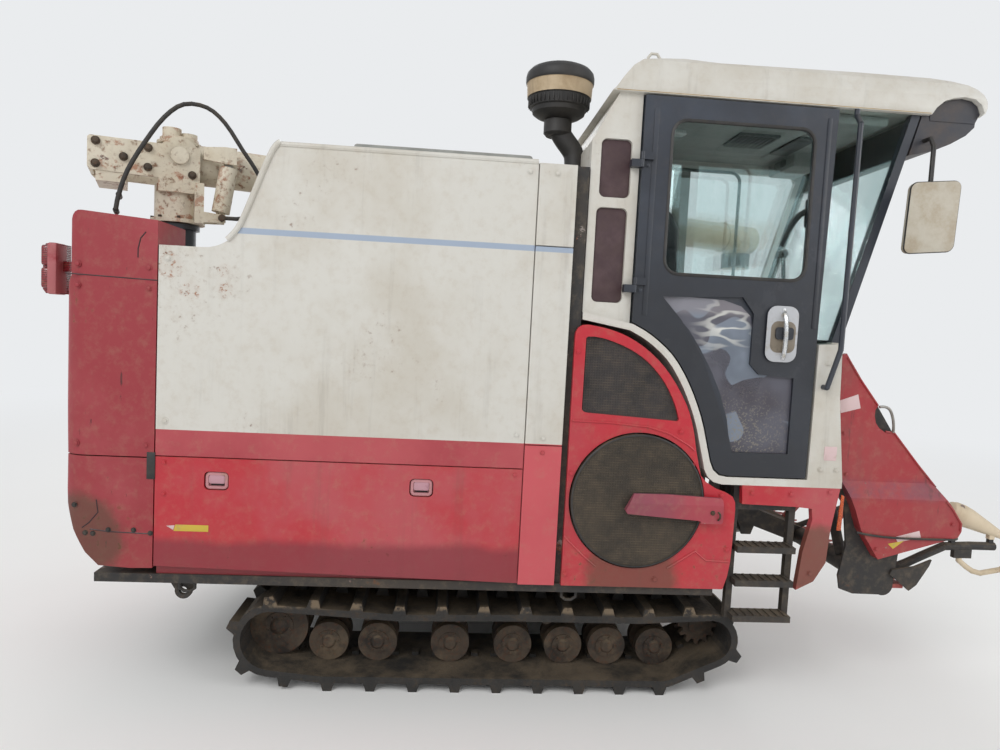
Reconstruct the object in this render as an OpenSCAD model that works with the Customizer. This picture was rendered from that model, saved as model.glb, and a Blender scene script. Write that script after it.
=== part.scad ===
/* [Body] */
// Height of the deck that carries the body
deck_z = 530; // [500:5:600]
// Distance from the middle plane to the right body panels
side_y = 920; // [900:5:940]
// Distance from the middle plane to the left body wall
left_y = 780; // [740:5:800]
// Open seam between neighbouring panels
seam = 5; // [3:1:8]
// Thickness of a sheet cover with its folded edge
cover_t = 25; // [15:1:30]
// Length of the grain tank
tank_l = 1447; // [1300:10:1600]
// Height of the grain tank
tank_h = 1230; // [1100:10:1300]
// Height of the lower body under the tank
lower_h = 483; // [440:5:540]
// Length of the upright panel in front of the tank
front_panel_l = 151; // [120:1:200]
// Length of the dark partition before the cab
partition_l = 54; // [40:1:80]
// Length of the covers behind the tank
rear_l = 335; // [300:5:380]

/* [Tracks] */
// Distance between the middles of the two tracks
track_gauge = 1150; // [1140:5:1200]
// Width of a rubber track
track_w = 450; // [400:10:460]
// Height of a track lug
lug_h = 35; // [25:1:45]
// Thickness of the track belt
belt_t = 29; // [20:1:35]
// Distance between neighbouring links
link_pitch = 90; // [84:1:100]
// Radius of a track roller
roller_r = 86; // [70:1:90]
// Radius of the rear idler
idler_r = 126; // [110:1:130]
// Radius of the drive sprocket over its teeth
sprocket_r = 92; // [85:1:98]
// Height of the idler axle
idler_z = 215; // [205:1:225]
// Height of the sprocket axle
sprocket_z = 248; // [238:1:258]
// Distance from the idler axle to the sprocket axle
wheelbase = 1902; // [1850:10:2000]

/* [Cab] */
// Inner side of the cab, measured from the middle plane
cab_left_y = 5; // [3:1:20]
// Wall thickness of the cab
cab_wall = 30; // [20:1:40]
// Height of the cab roof's underside
roof_z = 2546; // [2500:5:2600]
// Thickness of the cab door
door_t = 30; // [20:1:35]
// Width of the door's frame
door_frame_w = 85; // [60:1:100]
// Thickness of the glass
glass_t = 6; // [4:1:8]

/* [Engine] */
// Radius of the rotary screen
screen_r = 278; // [250:1:290]
// Radius of the precleaner bowl
bowl_r = 149; // [120:1:160]

/* [Header] */
// Half of the header's width over its covers
header_half_w = 850; // [820:5:870]
// Radius of the header's cross tube
cross_r = 45; // [35:1:50]
// Thickness of the header's side covers
header_cover_t = 50; // [30:1:60]

/* [Auger] */
// Radius of the upright auger
column_r = 75; // [60:1:85]
// Radius of the swinging auger tube
boom_r = 86; // [70:1:88]
// Length of the swinging auger
boom_l = 3380; // [3000:20:3400]
// Angle between the stored auger and the driving direction
boom_angle = 22; // [18:1:25]

/* [Hidden] */
$fn = 48;

cream = "#d8d2c0";
red = "#a3242a";
dark = "#2b2b2c";
black = "#181818";
steel = "#77736d";
rubber = "#26241f";
rust = "#6b4a38";
tan_dust = "#a08c6d";
glass_tint = "#7fa08f";

// Places along the machine, from the tank's rear face forwards
tank_rear_x = -1725;
tank_front_x = tank_rear_x + tank_l;
panel_rear_x = tank_front_x + seam;
panel_front_x = panel_rear_x + front_panel_l;
partition_front_x = panel_front_x + partition_l;
cab_rear_x = partition_front_x + seam;
// The cab and all before it keep their form and move with the cab's rear wall
cab_dx = cab_rear_x + 63;
// All that stands on the deck moves with the deck
deck_dz = deck_z - 530;
deck_t = 36;
deck_bottom = deck_z - deck_t;
lower_top = deck_z + lower_h;
tank_top = lower_top + tank_h;
mid_gap = 2;

// Helper forms
module box(a, b) {
    translate(a) cube(b - a);
}

// Draws a side view outline (x, z) as a solid from y0 to y1
module side_form(y0, y1) {
    translate([0, y1, 0]) rotate([90, 0, 0]) linear_extrude(y1 - y0) children();
}

// Draws a front view outline (y, z) as a solid from x0 to x1
module front_form(x0, x1) {
    translate([x0, 0, 0]) rotate([90, 0, 90]) linear_extrude(x1 - x0) children();
}

module rod(a, b, r, n = 12) {
    v = b - a;
    turn = [0, acos(v.z / norm(v)), atan2(v.y, v.x)];
    translate(a) rotate(turn) cylinder(h = norm(v), r = r, $fn = n);
}

// A bent pipe through a list of points
module pipe(points, r) {
    for (i = [0 : len(points) - 2]) {
        v = points[i + 1] - points[i];
        u = v / norm(v);
        lap = i < len(points) - 2 ? 0.4 * r : 0;
        rod(points[i], points[i + 1] + lap * u, r);
    }
}

// A disc with its axis along y
module disc(x, z, y0, y1, r, n = 48) {
    translate([x, y1, z]) rotate([90, 0, 0]) cylinder(h = y1 - y0, r = r, $fn = n);
}

module rounded_window(x0, z0, x1, z1, r) {
    for (x = [x0 + r, x1 - r], z = [z0 + r, z1 - r]) translate([x, z]) circle(r, $fn = 32);
    translate([x0 + r, z0]) square([x1 - x0 - 2 * r, z1 - z0]);
    translate([x0, z0 + r]) square([x1 - x0, z1 - z0 - 2 * r]);
}

function arc(c, r, a0, a1, n) =
    [for (i = [0 : n]) let (a = a0 + (a1 - a0) * i / n) [c.x + r * cos(a), c.y + r * sin(a)]];

// A finer line that runs smoothly through the points (x, z) of a table
function curve(t) = let (n = len(t) - 1) concat(
    [for (i = [0 : n - 1], k = [0 : 2])
        let (a = t[max(i - 1, 0)], b = t[i], c = t[i + 1], d = t[min(i + 2, n)], s = k / 3)
        (2 * b + (c - a) * s + (2 * a - 5 * b + 4 * c - d) * s * s
            + (3 * b - a - 3 * c + d) * s * s * s) / 2],
    [t[n]]);

// The same line moved sideways, to the left of its run
function beside(t, d) = let (n = len(t) - 1) [for (i = [0 : n])
    let (v = t[min(i + 1, n)] - t[max(i - 1, 0)]) t[i] + d / norm(v) * [-v.y, v.x]];

// Track geometry: the belt runs over round turns and sags on its top run
wheel_gap = 1;
idler_x = -1290 + cab_dx;
sprocket_x = idler_x + wheelbase;
wheel_z = lug_h + belt_t + roller_r + wheel_gap;
// Shares of the wheelbase, from the idler forwards
function along(shares) = [for (k = shares) idler_x + k * wheelbase];
roller_x = along([0.115, 0.228, 0.398, 0.547, 0.668, 0.774, 0.891]);
carrier_x = along([0.205, 0.415, 0.626]);
beam_x_places = along([0.152, 0.468, 0.783]);
// Columns: x, z, radius of the belt's inner face
turns = [
    [idler_x, idler_z, idler_r + wheel_gap],
    [roller_x[0], wheel_z, roller_r + wheel_gap],
    [roller_x[6], wheel_z, roller_r + wheel_gap],
    [sprocket_x, sprocket_z, sprocket_r + wheel_gap]];
// Columns: share of the wheelbase, drop of the top run below the idler's top
sags = [[0.8275, 21], [0.5505, 21], [0.2813, 31]];
idler_top = idler_z + idler_r + wheel_gap;

// Direction of the outward normal on the straight run from turn a to turn b
function run_normal(a, b) =
    let (d = [b.x - a.x, b.y - a.y])
    270 + atan2(d.y, d.x) + asin((a[2] - b[2]) / norm(d));

function turn_arc(i, offset, a0, a1, n) =
    arc([turns[i].x, turns[i].y], turns[i][2] + offset, a0, a1, n);

normal_rear = run_normal(turns[0], turns[1]);
normal_front = run_normal(turns[2], turns[3]);

function belt_line(offset) = concat(
    turn_arc(0, offset, 93, normal_rear, 12),
    turn_arc(1, offset, normal_rear, 270, 2),
    turn_arc(2, offset, 270, normal_front, 3),
    turn_arc(3, offset, normal_front, 448, 12),
    [for (s = sags) [idler_x + s.x * wheelbase, idler_top - s.y + offset]]);

belt_path = belt_line(belt_t);
belt_n = len(belt_path);
function belt_point(i) = belt_path[i % belt_n];
function belt_seg(i) = norm(belt_point(i + 1) - belt_point(i));
belt_sums = [for (i = 0, s = 0; i <= belt_n; s = s + belt_seg(i), i = i + 1) s];
link_count = 2 * round(belt_sums[belt_n] / (2 * link_pitch));
link_step = belt_sums[belt_n] / link_count;

// Puts its child on the belt's outer face at link k, pointing outwards
module on_belt(k) {
    s = k * link_step;
    i = [for (j = [0 : belt_n - 1]) if (belt_sums[j] <= s && s < belt_sums[j + 1]) j][0];
    a = belt_point(i);
    d = (belt_point(i + 1) - a) / belt_seg(i);
    p = a + d * (s - belt_sums[i]);
    translate(p) rotate(atan2(d.y, d.x) - 180) children();
}

lug_base = 62;
lug_tip = 36;
lug_sink = 6;
lug_overlap = 30;

module lug_outline() {
    polygon([[-lug_base / 2, -lug_sink], [lug_base / 2, -lug_sink],
        [lug_tip / 2, lug_h], [-lug_tip / 2, lug_h]]);
}

module track(side) {
    mid = side * track_gauge / 2;
    outer = mid + side * track_w / 2;
    inner = mid - side * track_w / 2;
    guide_w = 20;
    guide_h = 16;
    color(rubber) {
        side_form(min(outer, inner), max(outer, inner)) difference() {
            polygon(belt_line(belt_t));
            polygon(belt_line(0));
        }
        side_form(min(outer, mid - side * lug_overlap), max(outer, mid - side * lug_overlap))
            for (k = [0 : 2 : link_count - 1]) on_belt(k) lug_outline();
        side_form(min(inner, mid + side * lug_overlap), max(inner, mid + side * lug_overlap))
            for (k = [1 : 2 : link_count - 1]) on_belt(k) lug_outline();
        side_form(mid - guide_w, mid + guide_w)
            for (k = [0 : 1 : link_count - 1]) on_belt(k)
                translate([-15, -belt_t - guide_h]) square([30, guide_h + belt_t / 2]);
    }
}

module track_right() { track(-1); }
module track_left() { track(1); }

// The wheels inside a track run beside its guide lugs
disc_in = 35;
disc_out = 75;
frame_y = track_gauge / 2 - disc_out - 20;
beam_w = 60;
beam_z0 = 200;
beam_z1 = 270;
axle_r = 18;
carrier_r = 30;
carrier_z = idler_top - 31 - wheel_gap - carrier_r - 3;

module wheel_pair(side, x, z, r) {
    mid = side * track_gauge / 2;
    for (s = [-1, 1]) disc(x, z, mid + min(s * disc_in, s * disc_out),
        mid + max(s * disc_in, s * disc_out), r);
    disc(x, z, mid - disc_out + 5, mid + disc_out - 5, r * 0.45);
    disc(x, z, min(side * frame_y, side * (track_gauge / 2 - disc_in)),
        max(side * frame_y, side * (track_gauge / 2 - disc_in)), min(axle_r, r * 0.45));
}

module track_rollers() {
    color(rust) for (side = [-1, 1]) {
        for (x = roller_x) wheel_pair(side, x, wheel_z, roller_r);
        wheel_pair(side, idler_x, idler_z, idler_r);
        for (x = carrier_x) wheel_pair(side, x, carrier_z, carrier_r);
    }
}

module track_frames() {
    color(dark) for (side = [-1, 1]) {
        y0 = side > 0 ? frame_y - beam_w : -frame_y;
        y1 = y0 + beam_w;
        box([idler_x - 30, y0, beam_z0], [roller_x[6] + 60, y1, beam_z1]);
        for (x = roller_x) side_form(side > 0 ? y1 - 14 : y0, side > 0 ? y1 : y0 + 14)
            polygon([[x - 45, beam_z0 + 1], [x - 28, wheel_z - 28], [x + 28, wheel_z - 28],
                [x + 45, beam_z0 + 1]]);
        for (x = carrier_x) box([x - 20, side > 0 ? y1 - 14 : y0, beam_z1 - 1],
            [x + 20, side > 0 ? y1 : y0 + 14, carrier_z + 12]);
    }
}

hub_y = track_gauge / 2 - 105;
case_top = deck_bottom - 130;
case_front = 48;
module drive_sprockets() {
    teeth = 12;
    root_r = sprocket_r - 22;
    color(rust) for (side = [-1, 1]) {
        mid = side * track_gauge / 2;
        for (s = [-1, 1]) side_form(mid + min(s * 28, s * 52), mid + max(s * 28, s * 52))
            translate([sprocket_x, sprocket_z]) {
                circle(root_r);
                for (k = [0 : teeth - 1]) rotate(k * 360 / teeth)
                    polygon([[root_r - 6, -14], [sprocket_r, -7], [sprocket_r, 7],
                        [root_r - 6, 14]]);
            }
        disc(sprocket_x, sprocket_z, mid - 60, mid + 60, 42);
        disc(sprocket_x, sprocket_z, min(side * hub_y, mid), max(side * hub_y, mid), 30);
    }
}

module transmission() {
    case_r = 66;
    color(dark) {
        box([sprocket_x - 132, -300, sprocket_z - 60], [sprocket_x + case_front, 300, case_top]);
        for (side = [-1, 1]) disc(sprocket_x, sprocket_z, min(side * 299, side * hub_y),
            max(side * 299, side * hub_y), case_r);
    }
}

// The header turns on two cheeks that stand before the deck
pivot_x = 680 + cab_dx;
pivot_z = 760 + deck_dz;
pin_r = 29;
cheek_y = 262;
cheek_t = 30;
rail_y0 = 270;
rail_y1 = 330;
deck_rear_x = tank_rear_x - 235;
deck_front_x = 560 + cab_dx;
lift_x = 430 + cab_dx;
lift_z = 430 + deck_dz;
lift_pin_r = 14;

eye_x = deck_rear_x + 330;
eye_r = 16;
eye_t = 16;
eye_drop = 46;
eye_y = [-850, 750];
module tow_eye(y) {
    side_form(y - eye_t / 2, y + eye_t / 2) difference() {
        union() {
            translate([eye_x, deck_bottom - eye_drop]) circle(34);
            polygon([[eye_x - 60, deck_bottom + 1], [eye_x - 30, deck_bottom - eye_drop],
                [eye_x + 30, deck_bottom - eye_drop], [eye_x + 60, deck_bottom + 1]]);
        }
        translate([eye_x, deck_bottom - eye_drop]) circle(eye_r);
    }
}

module chassis_frame() {
    color(dark) {
        for (y = eye_y) tow_eye(y);
        box([deck_rear_x, -side_y + 20, deck_bottom], [deck_front_x, left_y, deck_z]);
        for (side = [-1, 1]) {
            box([deck_rear_x + 80, side > 0 ? rail_y0 : -rail_y1, case_top],
                [max(deck_front_x, sprocket_x + case_front - 100),
                    side > 0 ? rail_y1 : -rail_y0, deck_bottom + 1]);
            for (x = beam_x_places) {
                box([x - 40, side > 0 ? rail_y0 : -rail_y1, beam_z0],
                    [x + 40, side > 0 ? rail_y1 : -rail_y0, case_top + 1]);
                box([x - 35, side > 0 ? 0 : -frame_y + beam_w, beam_z0],
                    [x + 35, side > 0 ? frame_y - beam_w : 0, beam_z1]);
            }
            side_form(side > 0 ? cheek_y : -cheek_y - cheek_t,
                side > 0 ? cheek_y + cheek_t : -cheek_y) difference() {
                union() {
                    polygon([[thresher_front_x + 10, deck_z - 1], [deck_front_x - 30, deck_z - 1],
                        [deck_front_x - 30, deck_bottom + 5], [deck_front_x + 40, deck_bottom + 5],
                        [pivot_x + 50, pivot_z - 60], [pivot_x + 50, pivot_z + 30],
                        [pivot_x, pivot_z + 62], [deck_front_x - 60, pivot_z + 20]]);
                    translate([pivot_x, pivot_z]) circle(70);
                }
                translate([pivot_x, pivot_z]) circle(pin_r + 0.5);
            }
            box([lift_x - 30, side > 0 ? 26 : -44, lift_z - 28],
                [lift_x + 30, side > 0 ? 44 : -26, deck_bottom + 1]);
            box([pivot_x - 40, side > 0 ? 360 : -760, deck_bottom],
                [pivot_x, side > 0 ? 420 : -700, deck_z]);
        }
        disc(lift_x, lift_z, -44, 44, lift_pin_r - 0.5);
        box([deck_front_x - 1, -760, deck_bottom], [pivot_x - 39, -100, deck_z]);
        box([deck_front_x - 1, 100, deck_bottom], [pivot_x - 39, 420, deck_z]);
        box([pivot_x - 40, -760, deck_z - 1], [pivot_x, -700, cab_base_z]);
        box([pivot_x - 40, -420, deck_z - 1], [pivot_x, -360, cab_base_z]);
    }
}

// Right side of the body
groove = 15;
module lower_body() {
    y_in = -mid_gap;
    rear_rise = 30;
    difference() {
        color(red) union() {
            box([tank_rear_x, -side_y + 30, deck_z], [tank_front_x, y_in, lower_top]);
            side_form(-side_y, -side_y + 31) polygon([
                [tank_rear_x, deck_z + rear_rise + 10], [tank_front_x, deck_z + 5],
                [tank_front_x, lower_top], [tank_rear_x, lower_top]]);
        }
        box([tank_rear_x - 1, -side_y - 1, lower_top - seam],
            [tank_front_x + 1, -side_y + groove, lower_top + 1]);
        for (x = [tank_rear_x + 235, tank_front_x - 406])
            side_form(-side_y - 1, -side_y + 28)
                rounded_window(x - 48, lower_top - 132, x + 48, lower_top - 58, 20);
    }
}

notch_r = 150;
module grain_tank() {
    step_z = tank_top - 413;
    step_x = tank_rear_x + 165;
    recess_z = boom_z - boom_r - 25;
    recess_half = boom_r + 35;
    color(cream) difference() {
        side_form(-side_y, -mid_gap) polygon(concat(
            [[tank_rear_x, lower_top], [tank_front_x, lower_top], [tank_front_x, tank_top],
                [tank_rear_x + 424, tank_top]],
            arc([step_x, step_z + notch_r], notch_r, -18, -90, 8),
            [[tank_rear_x, step_z]]));
        translate([turret_x, turret_y, recess_z]) rotate(boom_angle)
            linear_extrude(tank_top - recess_z + 10)
                polygon([[0, -recess_half], [2400, -recess_half], [2400, 900], [0, 900]]);
    }
}

module front_panels() {
    color(cream) difference() {
        box([tank_front_x, -side_y, deck_z], [panel_front_x, -mid_gap, tank_top - 6]);
        box([tank_front_x - 1, -side_y - 1, deck_z - 1],
            [panel_rear_x, -side_y + groove, tank_top]);
        for (z = [lower_top + 95, tank_top - 333])
            box([tank_front_x - 1, -side_y - 1, z], [panel_front_x + 1, -side_y + groove, z + seam]);
    }
}

module partition() {
    color(dark) box([panel_front_x, -side_y + cover_t + 5, deck_z],
        [partition_front_x, -mid_gap, tank_top - 3]);
}

rear_x = tank_rear_x - rear_l;
rear_top = tank_top - 296;
rear_inner_y = -640;
rear_corner_r = 110;
// Plan of the rear covers, with the round corner that the sheet is bent to
module rear_plan(x1) {
    x0 = rear_x - 38;
    linear_extrude(tank_top + 100) {
        translate([x0 + rear_corner_r, -side_y + rear_corner_r]) circle(rear_corner_r, $fn = 64);
        translate([x0 + rear_corner_r, -side_y]) square([x1 - x0 - rear_corner_r + 1, side_y - 600]);
        translate([x0, -side_y + rear_corner_r])
            square([rear_corner_r + 1, side_y - 600 - rear_corner_r]);
    }
}

module rear_cover_lower() {
    z0 = deck_z;
    x1 = tank_rear_x - seam;
    color(red) intersection() {
        side_form(-side_y, rear_inner_y) polygon(concat(
            [[rear_x - 11, lower_top - 8 - seam], [rear_x - 14, lower_top - 151],
                [rear_x - 9, z0 + 273], [rear_x + 25, z0 + 175], [rear_x + 75, z0 + 88],
                [rear_x + 125, z0 + 37], [rear_x + 246, z0 + 29], [x1, z0 + 31],
                [x1, lower_top - 8 - seam]]));
        rear_plan(x1);
    }
}

module rear_cover_upper() {
    x1 = tank_rear_x - seam;
    z0 = lower_top - 8;
    top = rear_top;
    color(red) intersection() {
        side_form(-side_y, rear_inner_y) polygon(concat(
            [[rear_x - 11, z0], [x1, z0], [x1, top - 25]],
            arc([rear_x + 40, top - 42], 40, 80, 170, 4),
            [[rear_x, top - 250], [rear_x - 38, top - 310], [rear_x - 38, top - 464],
                [rear_x - 24, z0 + 210]]));
        rear_plan(x1);
    }
}

lamp_x0 = -2200;
lamp_d = 65;
lamp_h = 195;
lamp_y = [-790, 680];
lamp_z = [rear_top - 324, lower_top + 50];
module lamp_outline(z) {
    polygon([[lamp_x0, z + 16], [lamp_x0 + 12, z], [lamp_x0 + lamp_d, z],
        [lamp_x0 + lamp_d, z + lamp_h], [lamp_x0 + 12, z + lamp_h], [lamp_x0, z + lamp_h - 15]]);
}

module tail_lamps() {
    color(red) {
        side_form(lamp_y.x - 40, lamp_y.x + 40) lamp_outline(lamp_z.x);
        side_form(lamp_y.y - 40, lamp_y.y + 40) lamp_outline(lamp_z.y);
    }
    color(dark) {
        box([lamp_x0 + lamp_d, lamp_y.x - 20, lamp_z.x + 90], [rear_x, lamp_y.x + 20, lamp_z.x + 130]);
        box([lamp_x0 + lamp_d, lamp_y.y - 20, lamp_z.y + 80],
            [cutter_rear_x, lamp_y.y + 20, lamp_z.y + 120]);
    }
}

// Left side of the body: threshing unit, feed chain and straw cutter
thresher_rear_x = tank_rear_x;
thresher_front_x = 420 + cab_dx;
thresher_top = lower_top + 627;
chain_z = lower_top + 67;
module thresher_body() {
    color(red) side_form(mid_gap, left_y) polygon([
        [thresher_rear_x, deck_z], [thresher_front_x, deck_z],
        [thresher_front_x, thresher_top - 260], [thresher_front_x - 240, thresher_top],
        [thresher_rear_x + 150, thresher_top], [thresher_rear_x, thresher_top - 140]]);
}

module thresher_cover() {
    bulge = 70;
    z0 = chain_z + 130;
    x1 = thresher_front_x - 260;
    color(red) front_form(thresher_rear_x + 220, x1) polygon(concat(
        [[left_y, thresher_top - 8], [left_y, z0], [left_y + bulge - 20, z0]],
        arc([left_y + bulge - 90, z0 + 160], 90, 0, 70, 6)));
}

chain_y0 = left_y + 26;
chain_w = 26;
chain_r = 42;
module feed_chain() {
    x0 = thresher_rear_x + 40;
    x1 = thresher_front_x + 40;
    steps = 26;
    pitch = (x1 - x0) / steps;
    color(rust) {
        side_form(chain_y0, chain_y0 + chain_w) difference() {
            union() {
                translate([x0, chain_z]) circle(chain_r);
                translate([x1, chain_z]) circle(chain_r);
                translate([x0, chain_z - chain_r]) square([x1 - x0, 2 * chain_r]);
            }
            translate([x0, chain_z]) circle(chain_r - 14);
            translate([x1, chain_z]) circle(chain_r - 14);
            translate([x0, chain_z - chain_r + 14]) square([x1 - x0, 2 * chain_r - 28]);
        }
        side_form(chain_y0 + 8, chain_y0 + chain_w - 8) for (k = [0 : steps - 1])
            polygon([[x0 + k * pitch + 10, chain_z + chain_r - 3],
                [x0 + k * pitch + 40, chain_z + chain_r - 3],
                [x0 + k * pitch + 14, chain_z + chain_r + 24]]);
    }
}

module chain_rails() {
    x0 = thresher_rear_x + 60;
    x1 = thresher_front_x - 10;
    color(steel) {
        box([x0, left_y, chain_z - 22], [x1, chain_y0 + chain_w - 4, chain_z + 22]);
        box([x0, chain_y0, chain_z + chain_r + 34], [x1 - 120, chain_y0 + chain_w,
            chain_z + chain_r + 50]);
        for (k = [0 : 4]) box([x0 + 60 + k * 400, left_y, chain_z + chain_r + 34],
            [x0 + 90 + k * 400, chain_y0 + 1, chain_z + chain_r + 60]);
    }
}

cutter_rear_x = tank_rear_x - 355;
module straw_cutter() {
    z0 = lower_top - 393;
    x1 = thresher_rear_x;
    color(red) side_form(-400, left_y - 10) polygon([[x1, z0], [x1, z0 + 860],
        [x1 - 80, z0 + 900], [x1 - 280, z0 + 820], [cutter_rear_x, z0 + 580],
        [cutter_rear_x, z0 + 180], [cutter_rear_x + 100, z0 + 20]]);
}

guard_y = left_y + 185;
module crop_guard() {
    z = deck_z + 170;
    color(steel) pipe([[thresher_front_x - 40, left_y, z], [thresher_front_x - 40, left_y + 25, z],
        [thresher_front_x - 170, guard_y, z], [-900, guard_y, z], [-1150, left_y + 25, z],
        [-1150, left_y, z]], 15);
}

// Engine room under the cab's seat
screen_x = 204 + cab_dx;
screen_z = 895 + deck_dz;
cab_base_z = 972 + deck_dz;

module engine_block() {
    color(steel) {
        box([cab_rear_x + 10, -790, deck_z], [400 + cab_dx, -200, 1130 + deck_dz]);
        box([cab_rear_x + 5, -860, deck_z], [400 + cab_dx, -785, 1130 + deck_dz]);
    }
}

function shift(points) = [for (p = points) [p.x + cab_dx, p.y + deck_dz]];

cover_gap = 24;
// Columns: x, z along the outer edge of the cover, and along the window in it
cover_edge = shift([[-42, 1610], [41, 1597], [131, 1566], [224, 1508], [308, 1424], [384, 1306],
    [421, 1205], [441, 1110], [466, 1012]]);
window_edge = shift([[-12, 1563], [44, 1553], [134, 1520], [215, 1469], [288, 1390],
    [336, 1304], [357, 1242]]);
module engine_window() {
    polygon(concat(shift([[-48, 1556], [-40, 1562]]), curve(window_edge),
        shift([[354, 1234], [346, 1233], [-24, 1252], [-40, 1255], [-49, 1265]])));
}

module engine_cover() {
    x0 = panel_front_x + seam + cover_gap;
    color(red) side_form(-side_y, -side_y + cover_t) difference() {
        polygon(concat([[x0, deck_z], [x0, 1562 + deck_dz], [x0 + 3, 1580 + deck_dz],
            [x0 + 12, 1596 + deck_dz], [x0 + 28, 1607 + deck_dz]], curve(cover_edge),
            shift([[490, 985], [536, 957], [585, 940], [609, 926], [621, 903], [624, 870],
                [622, 728], [619, 649], [610, 583], [594, 530]])));
        engine_window();
        translate([screen_x, screen_z]) circle(screen_r + 7);
    }
}

module engine_mesh() {
    y0 = -side_y + cover_t - 12;
    color(dark) side_form(y0, y0 + 6) engine_window();
}

bar_y0 = side_y + 42;
module suction_bar() {
    color(red) {
        difference() {
            side_form(-bar_y0, -side_y - 15) polygon(shift([[149, 864], [184, 931], [326, 932],
                [550, 923], [557, 916], [558, 826], [551, 819], [467, 819], [462, 830], [242, 844],
                [157, 850]]));
            front_form(100 + cab_dx, 600 + cab_dx) polygon([[-bar_y0 - 1, 893 + deck_dz],
                [-bar_y0 - 1, 940 + deck_dz], [-bar_y0 + 20, 940 + deck_dz]]);
        }
        box([497 + cab_dx, -side_y - 16, 831 + deck_dz], [545 + cab_dx, -side_y, 911 + deck_dz]);
    }
}

module rotary_screen() {
    color(dark) {
        disc(screen_x, screen_z, -side_y - 8, -side_y + cover_t - 5, screen_r, 64);
        disc(screen_x, screen_z, -side_y + cover_t - 6, -866, 25);
    }
}

cleaner_x = -168 + cab_dx;
cleaner_y = -600;
module precleaner() {
    z0 = tank_top - 3;
    pipe_x = panel_front_x + partition_l / 2 - 10;
    bowl_z = tank_top + 262;
    color(dark) {
        translate([pipe_x, cleaner_y, z0]) cylinder(h = 120, r = 38);
        rod([pipe_x, cleaner_y, z0 + 110], [cleaner_x, cleaner_y, z0 + 210], 37, 32);
        translate([cleaner_x, cleaner_y, z0 + 200]) cylinder(h = 60, r = 60);
    }
    color(tan_dust) translate([cleaner_x, cleaner_y, bowl_z]) rotate_extrude($fn = 64)
        polygon([[0, -8], [60, -8], [90, 0], [bowl_r - 5, 50], [bowl_r, 58], [bowl_r, 140],
            [bowl_r - 6, 146], [0, 146]]);
    color(black) translate([cleaner_x, cleaner_y, bowl_z + 145]) rotate_extrude($fn = 64)
        polygon(concat([[0, 0], [bowl_r - 2, 0], [bowl_r, 6], [bowl_r, 24]],
            arc([bowl_r - 40, 24], 40, 20, 90, 5), [[0, 77]]));
}

// Cab shell, split where its panels meet
band_w = 28;
band_rear_z = 1660 + deck_dz;
// Columns: x, z along the band under the door
band_line = curve(shift([[145, 1622], [225, 1580], [320, 1501], [396, 1388], [457, 1251],
    [494, 1120], [508, 1068]]));
band_bend = band_line[0];
function band_edge(x) =
    band_rear_z + (band_bend.y - band_rear_z) * (x - cab_rear_x) / (band_bend.x - cab_rear_x);
function band_top() = concat([[cab_rear_x, band_rear_z]], band_line,
    shift([[524, 1032], [551, 1010], [586, 1004], [1090, 1004]]));

// The outline of the cab floor's underside, from the front to the rear
band_inner = beside(band_line, -band_w);
function band_bottom() = concat(
    shift([[1090, 972], [566, 972], [530, 981], [504, 1002], [488, 1032]]),
    [for (i = [len(band_inner) - 1 : -1 : 0]) band_inner[i]],
    [[cab_rear_x, band_rear_z - band_w - 2]]);

module cab_floor() {
    color(cream) side_form(-900, -cab_left_y) polygon(concat(band_top(), band_bottom()));
}

rear_top_z = 2350 + deck_dz;
cab_top = roof_z + deck_dz;
module cab_side_panel() {
    vent_d = 12;
    color(cream) difference() {
        side_form(-880, -850) polygon([
            [cab_rear_x, band_rear_z], [135 + cab_dx, band_edge(135 + cab_dx)],
            [135 + cab_dx, cab_top], [cab_rear_x + 102, cab_top], [cab_rear_x, rear_top_z]]);
        side_form(-881, -880 + vent_d) {
            rounded_window(-24 + cab_dx, 2128 + deck_dz, 102 + cab_dx, 2362 + deck_dz, 24);
            rounded_window(-30 + cab_dx, 1704 + deck_dz, 98 + cab_dx, 2088 + deck_dz, 24);
        }
    }
}

pillar_top = 1265;
module cab_walls() {
    color(cream) {
        side_form(-850, -cab_left_y - cab_wall + 1) polygon([
            [cab_rear_x, band_rear_z], [cab_rear_x + cab_wall, band_edge(cab_rear_x + cab_wall)],
            [cab_rear_x + cab_wall, rear_top_z - 8], [cab_rear_x + 102 + cab_wall, cab_top],
            [cab_rear_x + 102, cab_top], [cab_rear_x, rear_top_z]]);
        side_form(-cab_left_y - cab_wall, -cab_left_y) difference() {
            polygon(concat([[cab_rear_x, rear_top_z]], band_top_to(1000),
                [[1000 + cab_dx, 1585 + deck_dz], [pillar_top + cab_dx, cab_top],
                    [cab_rear_x + 102, cab_top]]));
            rounded_window(130 + cab_dx, 1760 + deck_dz, 900 + cab_dx, 2460 + deck_dz, 50);
        }
    }
}

// The band's top edge, ended at a chosen x
function band_top_to(x) = concat(
    [for (p = band_top()) if (p.x < 600 + cab_dx) p], [[x + cab_dx, 1004 + deck_dz]]);

module cab_front() {
    module bulkhead() {
        polygon(shift([[1015, 1004], [1090, 1004], [1050, 1349], [1042, 1585], [1003, 1585]]));
    }
    module pillar() {
        polygon([[1003 + cab_dx, 1584 + deck_dz], [1042 + cab_dx, 1584 + deck_dz],
            [pillar_top + 40 + cab_dx, cab_top], [pillar_top + 3 + cab_dx, cab_top]]);
    }
    color(cream) {
        side_form(-900, -845)
            polygon(shift([[936, 1004], [1090, 1004], [1050, 1349], [1042, 1585], [940, 1575]]));
        side_form(-846, -cab_left_y) bulkhead();
        side_form(-880, -845) pillar();
        side_form(-cab_left_y - cab_wall, -cab_left_y) pillar();
    }
}

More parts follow.
